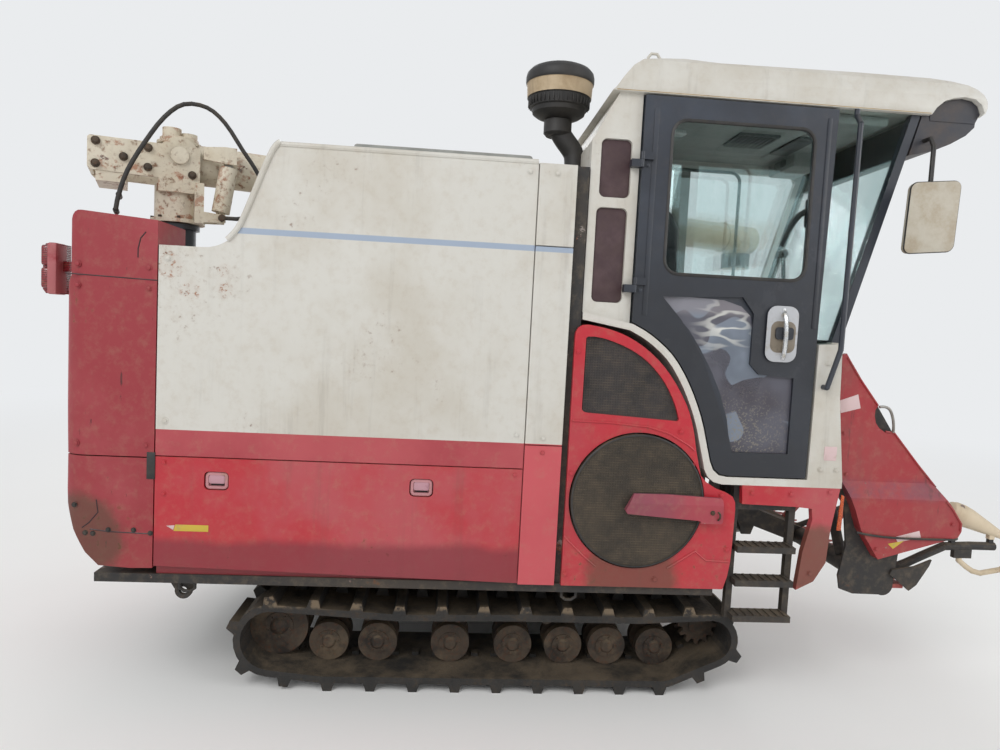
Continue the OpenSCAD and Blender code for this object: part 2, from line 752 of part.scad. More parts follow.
// Door outline, with a gap all round
door_gap = 6;
door_top = cab_top - 8;
function door_outline() = concat(
    beside(band_line, door_gap),
    shift([[530, 1036], [555, 1016], [588, 1010], [926, 1010], [929, 1637]]),
    [[945 + cab_dx, door_top], [141 + cab_dx, door_top], [141 + cab_dx, 1630 + deck_dz]]);

module upper_pane(grow = 0) {
    rounded_window(258 - grow + cab_dx, 1833 - grow + deck_dz, 855 + grow + cab_dx,
        2450 + grow + deck_dz, 60);
}

module lower_pane(grow = 0) {
    w = door_frame_w;
    polygon([
        [345 - grow + cab_dx, 1650 + deck_dz], [262 - grow + cab_dx, 1740 + grow + deck_dz],
        [600 + grow + cab_dx, 1755 + grow + deck_dz], [650 + cab_dx + grow, 1690 + deck_dz],
        [650 + cab_dx + grow, 1480 + deck_dz], [690 + cab_dx + grow, 1440 + deck_dz],
        [926 - w + grow + cab_dx, 1430 + deck_dz], [926 - w + grow + cab_dx, 1110 - grow + deck_dz],
        [600 - grow + cab_dx, 1110 - grow + deck_dz], [545 - grow + cab_dx, 1260 + deck_dz],
        [450 - grow + cab_dx, 1490 + deck_dz]]);
}

module cab_door() {
    color(black) {
        side_form(-900, -900 + door_t) difference() {
            polygon(door_outline());
            upper_pane();
            lower_pane();
        }
        side_form(-908, -899) rounded_window(716 + cab_dx, 1503 + deck_dz, 840 + cab_dx,
            1724 + deck_dz, 16);
        side_form(-922, -907) rounded_window(740 + cab_dx, 1590 + deck_dz, 815 + cab_dx,
            1640 + deck_dz, 12);
        for (z = hinge_zs) {
            translate([hinge_x, hinge_y, z + 31 + deck_dz]) cylinder(h = 30, r = 9);
            box([hinge_x, hinge_y - 6, z + 31 + deck_dz], [hinge_x + 46, -899, z + 61 + deck_dz]);
        }
    }
}

hinge_x = 139 + cab_dx;
hinge_y = -910;
hinge_zs = [1750, 2250];

module door_glass() {
    color(glass_tint) side_form(-900 + door_t / 2, -900 + door_t / 2 + glass_t) {
        upper_pane(-0.2);
        lower_pane(-0.2);
    }
}

module door_jamb() {
    ring = 36;
    color(black) {
        side_form(-864, -846) difference() {
            polygon(concat(beside(band_line, 1),
                shift([[526, 1033], [552, 1011], [587, 1005], [930, 1005], [930, 1637]]),
                [[932 + cab_dx, cab_top], [141 + cab_dx, cab_top], [141 + cab_dx, 1626 + deck_dz]]));
            polygon(concat([for (p = beside(band_line, ring)) if (p.x > 182 + cab_dx) p],
                shift([[560, 1046], [892, 1046], [892, 1637]]),
                [[892 + cab_dx, cab_top - ring], [180 + cab_dx, cab_top - ring],
                    [180 + cab_dx, 1652 + deck_dz]]));
        }
        for (z = hinge_zs) {
            translate([hinge_x, hinge_y, z + deck_dz]) cylinder(h = 30, r = 9);
            box([hinge_x - 44, hinge_y - 6, z + deck_dz], [hinge_x - 5, -880, z + 30 + deck_dz]);
        }
    }
}

module cab_roof() {
    color(cream) intersection() {
        side_form(-960, 60) polygon(concat(
            [[cab_dx, cab_top], [cab_dx - 3, cab_top + 25], [cab_dx + 50, cab_top + 67],
                [cab_dx + 111, cab_top + 111], [cab_dx + 190, cab_top + 145],
                [cab_dx + 439, cab_top + 134], [cab_dx + 800, cab_top + 152],
                [cab_dx + 1199, cab_top + 163], [cab_dx + 1418, cab_top + 151]],
            arc([cab_dx + 1495, cab_top + 64], 72, 75, 10, 5),
            [[cab_dx + 1563, cab_top + 20], [cab_dx + 1545, cab_top]]));
        front_form(cab_dx - 20, cab_dx + 1600) polygon([
            [-900, cab_top], [-905, cab_top + 20], [-902, cab_top + 60], [-880, cab_top + 110],
            [-820, cab_top + 150], [-700, cab_top + 170], [-190, cab_top + 170],
            [-70, cab_top + 150], [-10, cab_top + 110], [12, cab_top + 60], [15, cab_top + 20],
            [10, cab_top]]);
    }
    color(steel) pipe([[148 + cab_dx, -860, cab_top + 80], [148 + cab_dx, -860, cab_top + 150],
        [160 + cab_dx, -860, cab_top + 166], [184 + cab_dx, -860, cab_top + 166],
        [196 + cab_dx, -860, cab_top + 150], [196 + cab_dx, -860, cab_top + 80]], 6);
}

module cab_glass() {
    color(glass_tint) {
        side_form(-844, -cab_left_y - cab_wall - 1) polygon([
            [1022 + cab_dx, 1586 + deck_dz], [1030 + cab_dx, 1586 + deck_dz],
            [pillar_top + 27 + cab_dx, cab_top], [pillar_top + 19 + cab_dx, cab_top]]);
        side_form(-878, -878 + glass_t) polygon([
            [952 + cab_dx, cab_top], [pillar_top + 3 + cab_dx, cab_top],
            [1003 + cab_dx, 1586 + deck_dz], [940 + cab_dx, 1576 + deck_dz]]);
        side_form(-cab_left_y - 18, -cab_left_y - 12)
            rounded_window(130 + cab_dx, 1760 + deck_dz, 900 + cab_dx, 2460 + deck_dz, 50);
    }
}

module seat_stand() {
    foot = [for (p = band_top()) if (p.x > 321 + cab_dx && p.x < 600 + cab_dx) p];
    color(dark) side_form(-690, -330) polygon(concat(foot,
        shift([[640, 1004], [640, 1470]]), [[foot[0].x, 1470 + deck_dz]]));
}

module seat_cushion() {
    color(black) box([352 + cab_dx, -735, 1470 + deck_dz], [800 + cab_dx, -320, 1570 + deck_dz]);
}

module seat_back() {
    color(black) side_form(-725, -330) polygon(shift([
        [310, 1571], [430, 1571], [390, 2060], [350, 2150], [290, 2150], [262, 2060], [285, 1700]]));
}

module console() {
    y1 = -cab_left_y - cab_wall;
    color(dark) {
        side_form(-290, y1) polygon(shift([[500, 1180], [660, 1004], [880, 1004], [900, 1620],
            [560, 1600], [470, 1560]]));
        for (p = [[560, -210], [640, -160], [720, -220]]) {
            translate([p.x + cab_dx, p.y, 1600 + deck_dz]) cylinder(h = 240, r = 7);
            translate([p.x + cab_dx, p.y, 1850 + deck_dz]) sphere(24, $fn = 24);
        }
    }
}

module steering_column() {
    color(dark) {
        rod([920 + cab_dx, -560, 1004 + deck_dz], [920 + cab_dx, -560, 1760 + deck_dz], 40, 32);
        box([860 + cab_dx, -700, 1750 + deck_dz], [960 + cab_dx, -420, 1860 + deck_dz]);
        rod([880 + cab_dx, -660, 1860 + deck_dz], [870 + cab_dx, -660, 1960 + deck_dz], 9);
        translate([870 + cab_dx, -660, 1972 + deck_dz]) sphere(22, $fn = 24);
    }
}

module mirror() {
    x0 = 1220 + cab_dx;
    color(tan_dust) side_form(-980, -955) rounded_window(x0, 1970 + deck_dz, x0 + 228,
        2270 + deck_dz, 30);
    color(black) pipe([[1300 + cab_dx, -890, cab_top], [1300 + cab_dx, -890, cab_top - 30],
        [1330 + cab_dx, -940, cab_top - 130], [1330 + cab_dx, -945, 2200 + deck_dz],
        [1330 + cab_dx, -956, 2195 + deck_dz]], 9);
}

module grab_rail() {
    color(black) pipe([[1025 + cab_dx, -892, cab_top], [1025 + cab_dx, -892, cab_top - 25],
        [1016 + cab_dx, -940, cab_top - 70], [1012 + cab_dx, -940, 1560 + deck_dz],
        [972 + cab_dx, -930, 1400 + deck_dz], [972 + cab_dx, -900, 1400 + deck_dz]], 11);
}

module skirt() {
    color(red) side_form(-900, -870) polygon(shift([[656, 972], [1085, 972], [1056, 789],
        [1047, 649], [999, 566], [924, 527], [941, 694], [973, 834], [967, 881], [890, 887],
        [661, 892]]));
}

module ladder() {
    x0 = 645 + cab_dx;
    x1 = 898 + cab_dx;
    top = 891 + deck_dz;
    color(dark) {
        for (x = [x0, x1]) box([x - 14, -868, 390 + deck_dz], [x + 14, -838, top]);
        box([x0 - 14, -868, top - 30], [x1 + 14, -838, top]);
        for (z = [690, 545, 392]) box([x0, -925, z + deck_dz], [x1, -838, z + 26 + deck_dz]);
        box([x0 - 10, -869, top - 1], [x0 + 40, -830, cab_base_z]);
        box([x1 - 44, -869, top - 1], [x1 + 6, -830, cab_base_z]);
    }
}

// Unloading auger
turret_x = tank_rear_x - 90;
turret_y = -500;
column_top = tank_top - 288;
raise_z = tank_top - 8;
boom_z = raise_z - 10;
cheek_v = 112;
turret_pin_r = 15;

module auger_column() {
    color(black) {
        translate([turret_x, turret_y, deck_z]) cylinder(h = column_top - deck_z, r = column_r);
        translate([turret_x, turret_y, column_top - 20]) cylinder(h = 20, r = column_r + 15);
    }
}

// Places its child at the turret, turned so that +x runs along the stored auger
module on_turret() {
    translate([turret_x, turret_y, 0]) rotate([0, 0, boom_angle]) children();
}

// The lift cylinder leans beside the boom, on the machine's right
lift_v = -136;
lift_foot = [160, tank_top - 258];
lift_head = [198, tank_top - 2];
casing_r = 95;
module auger_turret() {
    collar_top = raise_z - 112;
    casing_z = column_top + 5;
    foot_side = lift_v - 38;
    color(tan_dust) on_turret() difference() {
        union() {
            translate([0, 0, casing_z]) cylinder(h = collar_top - casing_z - 1, r = casing_r);
            translate([0, 0, casing_z]) cylinder(h = 16, r = casing_r + 15);
            box([-80, -cheek_v, collar_top - 40], [80, cheek_v, collar_top]);
            for (side = [-1, 1]) side_form(side > 0 ? cheek_v - 14 : -cheek_v,
                side > 0 ? cheek_v : -cheek_v + 14)
                polygon([[-340, raise_z - 88], [-328, raise_z - 100], [-80, raise_z - 100],
                    [-80, collar_top - 30], [80, collar_top - 30], [80, raise_z + 36],
                    [70, raise_z + 44], [-332, raise_z + 36], [-340, raise_z + 28]]);
            box([-340, -cheek_v, raise_z - 88], [-326, cheek_v, raise_z + 28]);
            box([-310, -cheek_v + 4, raise_z - 140], [-200, cheek_v - 4, raise_z - 99]);
            box([60, foot_side, lift_foot.y - 30], [95, -casing_r - 2, collar_top]);
            box([60, -casing_r - 3, casing_z + 30], [95, 60, collar_top]);
            for (side = [-1, 1]) side_form(lift_v + (side > 0 ? 24 : -38),
                lift_v + (side > 0 ? 38 : -24))
                polygon([[94, lift_foot.y - 24], [lift_foot.x + 22, lift_foot.y - 18],
                    [lift_foot.x + 22, lift_foot.y + 14], [94, lift_foot.y + 20]]);
        }
        disc(0, raise_z, -cheek_v - 1, cheek_v + 1, turret_pin_r);
        disc(lift_foot.x, lift_foot.y, lift_v - 60, lift_v + 60, 10);
    }
}

hose_r = 9;
// Columns: distance along the stored auger, height over the boom's pin
hose_loop = curve([[-232, -262], [-222, -200], [-192, -100], [-132, 20], [-62, 132], [10, 196],
    [98, 198], [170, 146], [242, 46], [296, -28], [352, -130], [350, -190], [300, -222]]);
module auger_hose() {
    y = -cheek_v - 78;
    color(black) on_turret() {
        for (i = [0 : len(hose_loop) - 2]) let (a = hose_loop[i], b = hose_loop[i + 1],
            u = (b - a) / norm(b - a), c = b + (i < len(hose_loop) - 2 ? 0.4 * hose_r : 0) * u)
            rod([a.x, y, a.y + raise_z], [c.x, y, c.y + raise_z], hose_r);
        for (p = [hose_loop[3], hose_loop[0]]) disc(p.x, p.y + raise_z, y, -cheek_v, 11, 24);
    }
}

module auger_boom() {
    drum_r = 82;
    head_top = lift_head.y + 34;
    color(tan_dust) on_turret() {
        disc(0, raise_z, -cheek_v + 20, cheek_v - 20, drum_r);
        disc(0, raise_z, -cheek_v - 8, cheek_v + 8, turret_pin_r - 0.5);
        translate([0, 0, raise_z + 20]) cylinder(h = 70, r = 78);
        translate([0, 0, raise_z + 62]) cylinder(h = 12, r = 90);
        translate([-30, -26, raise_z + 89]) cylinder(h = 38, r = 38);
        translate([38, -14, raise_z + 89]) cylinder(h = 24, r = 34);
    }
    color(steel) on_turret() {
        translate([60, 0, boom_z]) rotate([0, 90, 0]) cylinder(h = boom_l - 60, r = boom_r);
        translate([boom_l - 110, 0, boom_z - 190]) cylinder(h = 190, r = 80);
        side_form(lift_v - 36, lift_v - 22) polygon([[92, boom_z], [92, boom_z + 50],
            [lift_head.x - 24, head_top + 12], [lift_head.x + 24, head_top + 12],
            [lift_head.x + 24, lift_head.y - 24], [lift_head.x - 24, lift_head.y - 24]]);
        box([lift_head.x - 24, lift_v + 22, lift_head.y - 24],
            [lift_head.x + 24, lift_v + 36, head_top + 12]);
        box([lift_head.x - 24, lift_v - 23, head_top], [lift_head.x + 24, lift_v + 23, head_top + 12]);
        box([lift_head.x - 24, lift_v + 35, lift_head.y - 19],
            [lift_head.x + 24, -boom_r + 26, lift_head.y + 19]);
        box([92, lift_v - 23, boom_z + 10], [110, -boom_r + 20, boom_z + 40]);
    }
}

module boom_rest() {
    along = 1980;
    color(dark) on_turret() {
        box([along - 30, -40, thresher_top], [along + 30, 40, boom_z - boom_r - 46]);
        box([along - 30, -boom_r - 24, boom_z - boom_r - 47],
            [along + 30, boom_r, boom_z - boom_r - 6]);
        box([along - 30, -boom_r - 24, boom_z - boom_r - 7], [along + 30, -boom_r - 8, boom_z - 10]);
    }
}

auger_run = lift_head - lift_foot;
auger_len = norm(auger_run);
auger_tilt = atan2(auger_run.x, auger_run.y);
module at_lift() {
    on_turret() translate([lift_foot.x, lift_v, lift_foot.y]) rotate([0, auger_tilt, 0]) children();
}

module auger_cylinder() {
    color(tan_dust) at_lift() difference() {
        union() {
            disc(0, 0, -20, 20, 20);
            cylinder(h = 32, r = 18);
            translate([0, 0, 28]) cylinder(h = 194, r = 37);
            disc(0, 0, -38, 38, 9.5);
        }
        translate([0, 0, 42]) cylinder(h = 190, r = 17);
    }
}

module auger_rod() {
    color(steel) at_lift() {
        translate([0, 0, 45]) cylinder(h = auger_len - 47, r = 16);
        disc(0, auger_len, -17, 17, 18);
    }
}

// Header, drawn fully raised as it is parked
cross_x = 1380 + cab_dx;
cross_z = 520 + deck_dz;
beam_x = 1130 + cab_dx;
beam_z = 1370 + deck_dz;
beam_r = 28;
works_y = header_half_w - header_cover_t;
lift_eye = [1080 + cab_dx, 540 + deck_dz];

module header_frame() {
    color(dark) {
        disc(pivot_x, pivot_z, -cheek_y + 6, cheek_y - 6, 58);
        disc(pivot_x, pivot_z, -cheek_y - cheek_t - 3, cheek_y + cheek_t + 3, pin_r);
        side_form(-60, 60) polygon([[pivot_x - 10, pivot_z - 40], [cross_x - 20, cross_z - 40],
            [cross_x + 20, cross_z + 40], [pivot_x + 20, pivot_z + 52]]);
        disc(cross_x, cross_z, -works_y, works_y, cross_r);
        disc(beam_x, beam_z, -works_y, works_y, beam_r);
        for (y = [-470, 470]) rod([cross_x, y, cross_z], [beam_x, y, beam_z], 25);
        for (side = [-1, 1]) side_form(side > 0 ? 24 : -38, side > 0 ? 38 : -24)
            polygon([[lift_eye.x - 26, lift_eye.y - 26], [lift_eye.x + 26, lift_eye.y - 26],
                [lift_eye.x + 60, lift_eye.y + 70], [lift_eye.x - 60, lift_eye.y + 100]]);
        for (y = divider_y) {
            pipe([[cross_x - 60, y, cross_z + 14], [cross_x + 36, y, cross_z + 50],
                [cross_x + 133, y, cross_z + 90], [cross_x + 202, y, cross_z + 124],
                [cross_x + 305, y, pipe_z - 6], [cross_x + 428, y, pipe_z],
                [front_post + 20, y, pipe_z]], abs(y) > 600 ? 19 : 15);
            for (x = [rear_post, front_post]) box([x - 10, y - 10, pipe_z - 12],
                [x + 10, y + 10, nose_seat(x)]);
        }
        for (y = [divider_y[0], divider_y[4]])
            box([skid_x - 34, y - 12, skid_z], [skid_x + 50, y + 12, pipe_z - 4]);
        for (side = [-1, 1]) side_form(side > 0 ? works_y - 1 : -works_y - 11,
            side > 0 ? works_y + 11 : -works_y + 1)
            polygon(shift([[1400, 575], [1432, 551], [1495, 502], [1528, 529], [1581, 618],
                [1590, 645], [1513, 612], [1410, 596]]));
        for (side = [-1, 1]) side_form(side > 0 ? works_y - 12 : -works_y,
            side > 0 ? works_y : -works_y + 12) {
            polygon(shift([[1128, 975], [1160, 962], [1200, 872], [1232, 785], [1262, 742],
                [1310, 666], [1420, 700], [1440, 690], [1424, 520], [1380, 478], [1240, 480],
                [1180, 500], [1168, 560], [1192, 700], [1172, 850]]));
            polygon(shift([[1106, 1360], [1130, 1396], [1258, 1330], [1276, 1330], [1362, 1206],
                [1300, 1180], [1220, 1200]]));
        }
    }
}

// Each divider is a round nose with a steel tip, carried by two short posts
divider_y = [-750, -385, 0, 385, 750];
case_y = [-560, -192, 192, 560];
pipe_z = 698 + deck_dz;
nose_rear = [1690 + cab_dx, 868 + deck_dz];
nose_tip = [2054 + cab_dx, 706 + deck_dz];
nose_run = nose_tip - nose_rear;
function nose_axis(x) = nose_rear.y + nose_run.y * (x - nose_rear.x) / nose_run.x;
rear_post = nose_rear.x + 32;
front_post = nose_rear.x + 215;
function nose_seat(x) = nose_axis(x) - (x < nose_rear.x + 100 ? 62 : 40);
skid_x = 1764 + cab_dx;
skid_z = 642 + deck_dz;
// Columns: distance along the nose, radius
nose_form = [[0, 22], [10, 36], [32, 44], [66, 47.5], [108, 45.5], [150, 39], [198, 32],
    [289, 17], [395, 5]];
module dividers() {
    tip_x = 2200;
    color(cream) for (y = divider_y) {
        translate([nose_rear.x, y, nose_rear.y])
            rotate([0, 90 - atan2(nose_run.y, nose_run.x), 0]) rotate_extrude()
                polygon(concat([[0, 0]], [for (p = nose_form) [p.y, p.x]],
                    [[0, nose_form[len(nose_form) - 1].x]]));
        side_form(y - 5, y + 5) polygon([[nose_tip.x - 40, nose_tip.y + 24],
            [tip_x, 694 + deck_dz], [tip_x, 682 + deck_dz], [nose_tip.x - 40, nose_tip.y + 4]]);
        for (x = [rear_post, front_post]) box([x - 12, y - 12, nose_seat(x)],
            [x + 12, y + 12, nose_axis(x)]);
    }
    color(cream) for (y = [divider_y[0], divider_y[4]]) pipe([[skid_x, y, skid_z],
        [skid_x, y, skid_z - 14], [skid_x + 37, y, 600 + deck_dz], [skid_x + 70, y, 580 + deck_dz],
        [skid_x + 108, y, 571 + deck_dz], [skid_x + 205, y, 590 + deck_dz],
        [skid_x + 255, y, 622 + deck_dz], [skid_x + 272, y, 660 + deck_dz],
        [skid_x + 276, y, nose_axis(skid_x + 276)]], 12);
}

fold_d = 26;
module header_covers() {
    color(red) for (side = [-1, 1]) difference() {
        side_form(side > 0 ? works_y : -header_half_w, side > 0 ? header_half_w : -works_y)
            polygon(shift([[1084, 1535], [1108, 1545], [1179, 1440], [1271, 1326], [1258, 1306],
                [1257, 1280], [1265, 1250], [1282, 1228], [1313, 1209], [1355, 1206],
                [1476, 1068], [1570, 970], [1638, 891], [1684, 826], [1684, 786], [1672, 762],
                [1470, 701], [1312, 654], [1256, 736], [1224, 782], [1192, 869], [1153, 952],
                [1125, 1002], [1094, 1234], [1073, 1431]]));
        front_form(1000 + cab_dx, 1800 + cab_dx) polygon([
            [side * (header_half_w + 1), 920 + deck_dz],
            [side * (header_half_w - fold_d), 992 + deck_dz],
            [side * (header_half_w - fold_d), 1600 + deck_dz],
            [side * (header_half_w + 1), 1600 + deck_dz]]);
    }
}

case_foot = [1590 + cab_dx, 760 + deck_dz];
case_head = [1225 + cab_dx, 1270 + deck_dz];
case_r = 55;

// A strut from one point (x, z) that ends on a tube of radius r around another
module strut(y, from, to, r) {
    end = to - (to - from) / norm(to - from) * r;
    rod([from.x, y, from.y], [end.x, y, end.y], 22);
}

module header_works() {
    run = case_head - case_foot;
    case_len = norm(run);
    tilt = atan2(run.y, run.x);
    color(red) for (y = case_y) {
        side_form(y - 35, y + 35) translate(case_foot) rotate(tilt) {
            circle(case_r, $fn = 32);
            translate([case_len, 0]) circle(case_r, $fn = 32);
            translate([0, -case_r]) square([case_len, 2 * case_r]);
            for (k = [0 : 7]) translate([30 + k * 78, -case_r + 2])
                polygon([[0, 0], [34, 0], [10, -60], [2, -60]]);
        }
        strut(y, case_head, [beam_x, beam_z], beam_r);
        strut(y, case_foot, [cross_x, cross_z], cross_r);
    }
    color(steel) {
        box([cross_x + cross_r, -works_y + 4, cross_z - 12], [cross_x + 96, works_y - 4, cross_z + 6]);
        for (k = [0 : 19]) translate([cross_x + 95, -760 + k * 80, cross_z - 8])
            linear_extrude(8) polygon([[0, -30], [60, 0], [0, 30]]);
    }
    color(red) rod([1130 + cab_dx, 401, 1010 + deck_dz], [1130 + cab_dx, 401, beam_z - beam_r], 16);
    color(red) translate([1290 + cab_dx, 330, 980 + deck_dz]) rotate([0, 12, -24])
        side_form(-30, 30) {
            circle(70, $fn = 32);
            translate([-640, 0]) circle(70, $fn = 32);
            translate([-640, -70]) square([640, 140]);
        }
}

lift_run = lift_eye - [lift_x, lift_z];
lift_len = norm(lift_run);
lift_tilt = atan2(lift_run.y, lift_run.x);
module header_cylinder() {
    color(dark) translate([lift_x, 0, lift_z]) rotate([0, -lift_tilt, 0]) {
        difference() {
            union() {
                disc(0, 0, -20, 20, 26);
                rotate([0, 90, 0]) cylinder(h = 50, r = 19);
                translate([42, 0, 0]) rotate([0, 90, 0]) cylinder(h = 338, r = 34);
            }
            disc(0, 0, -23, 23, lift_pin_r);
            translate([60, 0, 0]) rotate([0, 90, 0]) cylinder(h = 330, r = 21);
        }
    }
}

module header_rod() {
    color(steel) translate([lift_x, 0, lift_z]) rotate([0, -lift_tilt, 0]) {
        translate([lift_len - 450, 0, 0]) rotate([0, 90, 0]) cylinder(h = 430, r = 20);
        disc(lift_len, 0, -18, 18, 26);
    }
}

chassis_frame();
transmission();
track_frames();
track_right();
track_left();
track_rollers();
drive_sprockets();
lower_body();
grain_tank();
front_panels();
partition();
rear_cover_lower();
rear_cover_upper();
tail_lamps();
thresher_body();
thresher_cover();
feed_chain();
chain_rails();
straw_cutter();
crop_guard();
engine_block();
engine_cover();
engine_mesh();
suction_bar();
rotary_screen();
precleaner();
cab_floor();
cab_walls();
cab_side_panel();
cab_front();
door_jamb();
cab_roof();
cab_glass();
cab_door();
door_glass();
seat_stand();
seat_cushion();
seat_back();
console();
steering_column();
mirror();
grab_rail();
ladder();
skirt();
auger_column();
auger_turret();
auger_hose();
auger_boom();
boom_rest();
auger_cylinder();
auger_rod();
header_frame();
dividers();
header_covers();
header_works();
header_cylinder();
header_rod();
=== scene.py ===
import math
from contextlib import contextmanager
from functools import partial

import bpy
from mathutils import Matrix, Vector


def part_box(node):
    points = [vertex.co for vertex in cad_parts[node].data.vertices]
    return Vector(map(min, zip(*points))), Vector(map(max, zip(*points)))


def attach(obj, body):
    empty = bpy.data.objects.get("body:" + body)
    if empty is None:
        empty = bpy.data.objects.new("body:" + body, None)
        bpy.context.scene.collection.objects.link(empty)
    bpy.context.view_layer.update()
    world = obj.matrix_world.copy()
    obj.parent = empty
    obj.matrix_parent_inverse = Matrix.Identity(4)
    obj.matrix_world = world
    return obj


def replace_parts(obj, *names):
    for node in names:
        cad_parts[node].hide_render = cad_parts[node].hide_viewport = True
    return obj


bl_info = {
    "name": "Combine harvester dressing",
    "version": (1, 0, 0),
    "blender": (4, 5, 0),
    "location": "3D View > Sidebar > Harvester",
    "description": "Paints the harvester's solids and adds its seals, bolts and fittings",
    "category": "Object",
}

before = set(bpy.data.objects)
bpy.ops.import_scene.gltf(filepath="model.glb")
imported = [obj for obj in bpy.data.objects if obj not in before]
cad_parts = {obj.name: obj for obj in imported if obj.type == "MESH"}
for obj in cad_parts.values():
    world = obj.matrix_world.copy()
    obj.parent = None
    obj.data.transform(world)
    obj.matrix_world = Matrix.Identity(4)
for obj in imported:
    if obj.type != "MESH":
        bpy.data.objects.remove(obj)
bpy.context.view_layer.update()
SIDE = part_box("grain_tank")[0].y  # the face of the machine's right side
DOOR_FACE = -0.9
CEILING = 2.546
TANK_BORDER = 1.116  # where the tank's cream meets the red
TANK_STRIPE = (1.89, 1.913)
CLEANER_BELT = (2.587, 2.645)
HEADER_FOLD = (0.92, 1.0)
WINDSCREEN_FOOT = 1.588
SMALL_BOLT = 0.007  # radius of a small bolt's head
MERGE_DISTANCE = 0.00002
CLOTH_FRAMES = 20
FLOOR_SIZE = 60
SKY_LIGHT = 0.56
LIGHTS_AIM = Vector((0, 0, 1.2))
CAMERA_ANGLES = (4.3, -3.9, 2.95)  # yaw, pitch and roll in degrees


def tint(red, green, blue):
    """A colour as a colour picker shows it, 0 to 255, as Blender's linear values."""
    values = [c / 255 for c in (red, green, blue)]
    return tuple(c / 12.92 if c < 0.04045 else ((c + 0.055) / 1.055) ** 2.4 for c in values)


def colour_property(label, description, value):
    return bpy.props.FloatVectorProperty(
        name=label, description=description, subtype="COLOR", size=3, min=0, max=1, default=value
    )


def length_property(label, description, value):
    return bpy.props.FloatProperty(
        name=label, description=description, default=value, min=0, unit="LENGTH", precision=4
    )


class HarvesterColours(bpy.types.PropertyGroup):
    """Colours of the paint, the dirt and the trim."""

    cream: colour_property("Cream paint", "Tank, cab and roof panels", tint(206, 204, 197))
    red: colour_property("Red paint", "Lower panels and engine cover", tint(178, 34, 47))
    faded_red: colour_property("Faded red", "Sun-bleached red paint", tint(176, 74, 80))
    old_red: colour_property("Old red", "Dull red of the rear covers", tint(146, 46, 54))
    # The blue in this black is partly the paint's own colour and partly a painted sky reflection.
    black: colour_property("Black paint", "Door, posts and jamb", tint(34, 39, 49))
    frame_grey: colour_property("Frame paint", "Chassis, brackets and arms", tint(38, 37, 37))
    dust: colour_property("Dust", "Dry field dust on flat places", tint(160, 140, 112))
    mud: colour_property("Mud", "Dried mud low on the machine", tint(86, 72, 58))
    rust: colour_property("Rust", "Rust spots and bare iron", tint(104, 58, 32))
    stripe: colour_property("Pale stripe", "Stripe along the tank", tint(148, 164, 186))
    sticker: colour_property("Blank sticker", "Plain yellow sticker", tint(196, 170, 62))
    glass: colour_property("Glass", "Green tinted cab glass", tint(160, 204, 204))


class HarvesterSizes(bpy.types.PropertyGroup):
    """Sizes of the small parts that dress the solids."""

    bolt_radius: length_property("Bolt head", "Radius of a body bolt's head", 0.009)
    bolt_height: length_property("Bolt height", "Height of a body bolt's head", 0.006)
    seal_radius: length_property("Seal", "Radius of the rubber seal round a pane", 0.008)
    camera_x: bpy.props.FloatProperty(
        name="Camera place", description="Camera along the machine", default=-0.6, unit="LENGTH"
    )
    camera_distance: length_property("Camera distance", "From the middle plane", 3.72)
    camera_height: length_property("Camera height", "Above the floor", 1.581)
    lens: bpy.props.FloatProperty(
        name="Lens", description="Focal length", default=25.2, unit="CAMERA"
    )


def colours():
    return bpy.context.scene.harvester_colours


def sizes():
    return bpy.context.scene.harvester_sizes


class Value:
    """A shader socket that takes Python's arithmetic."""

    def __init__(self, finish, socket):
        self.finish = finish
        self.socket = socket

    def math(self, operation, first, second):
        return self.finish.node(
            "ShaderNodeMath", {"operation": operation, "use_clamp": False}, {0: first, 1: second}
        )

    def __add__(self, other):
        return self.math("ADD", self, other)

    def __sub__(self, other):
        return self.math("SUBTRACT", self, other)

    def __mul__(self, other):
        return self.math("MULTIPLY", self, other)

    def __rsub__(self, other):
        return self.math("SUBTRACT", other, self)

    __radd__ = __add__
    __rmul__ = __mul__

    def greater(self, other):
        return self.math("MAXIMUM", self, other)


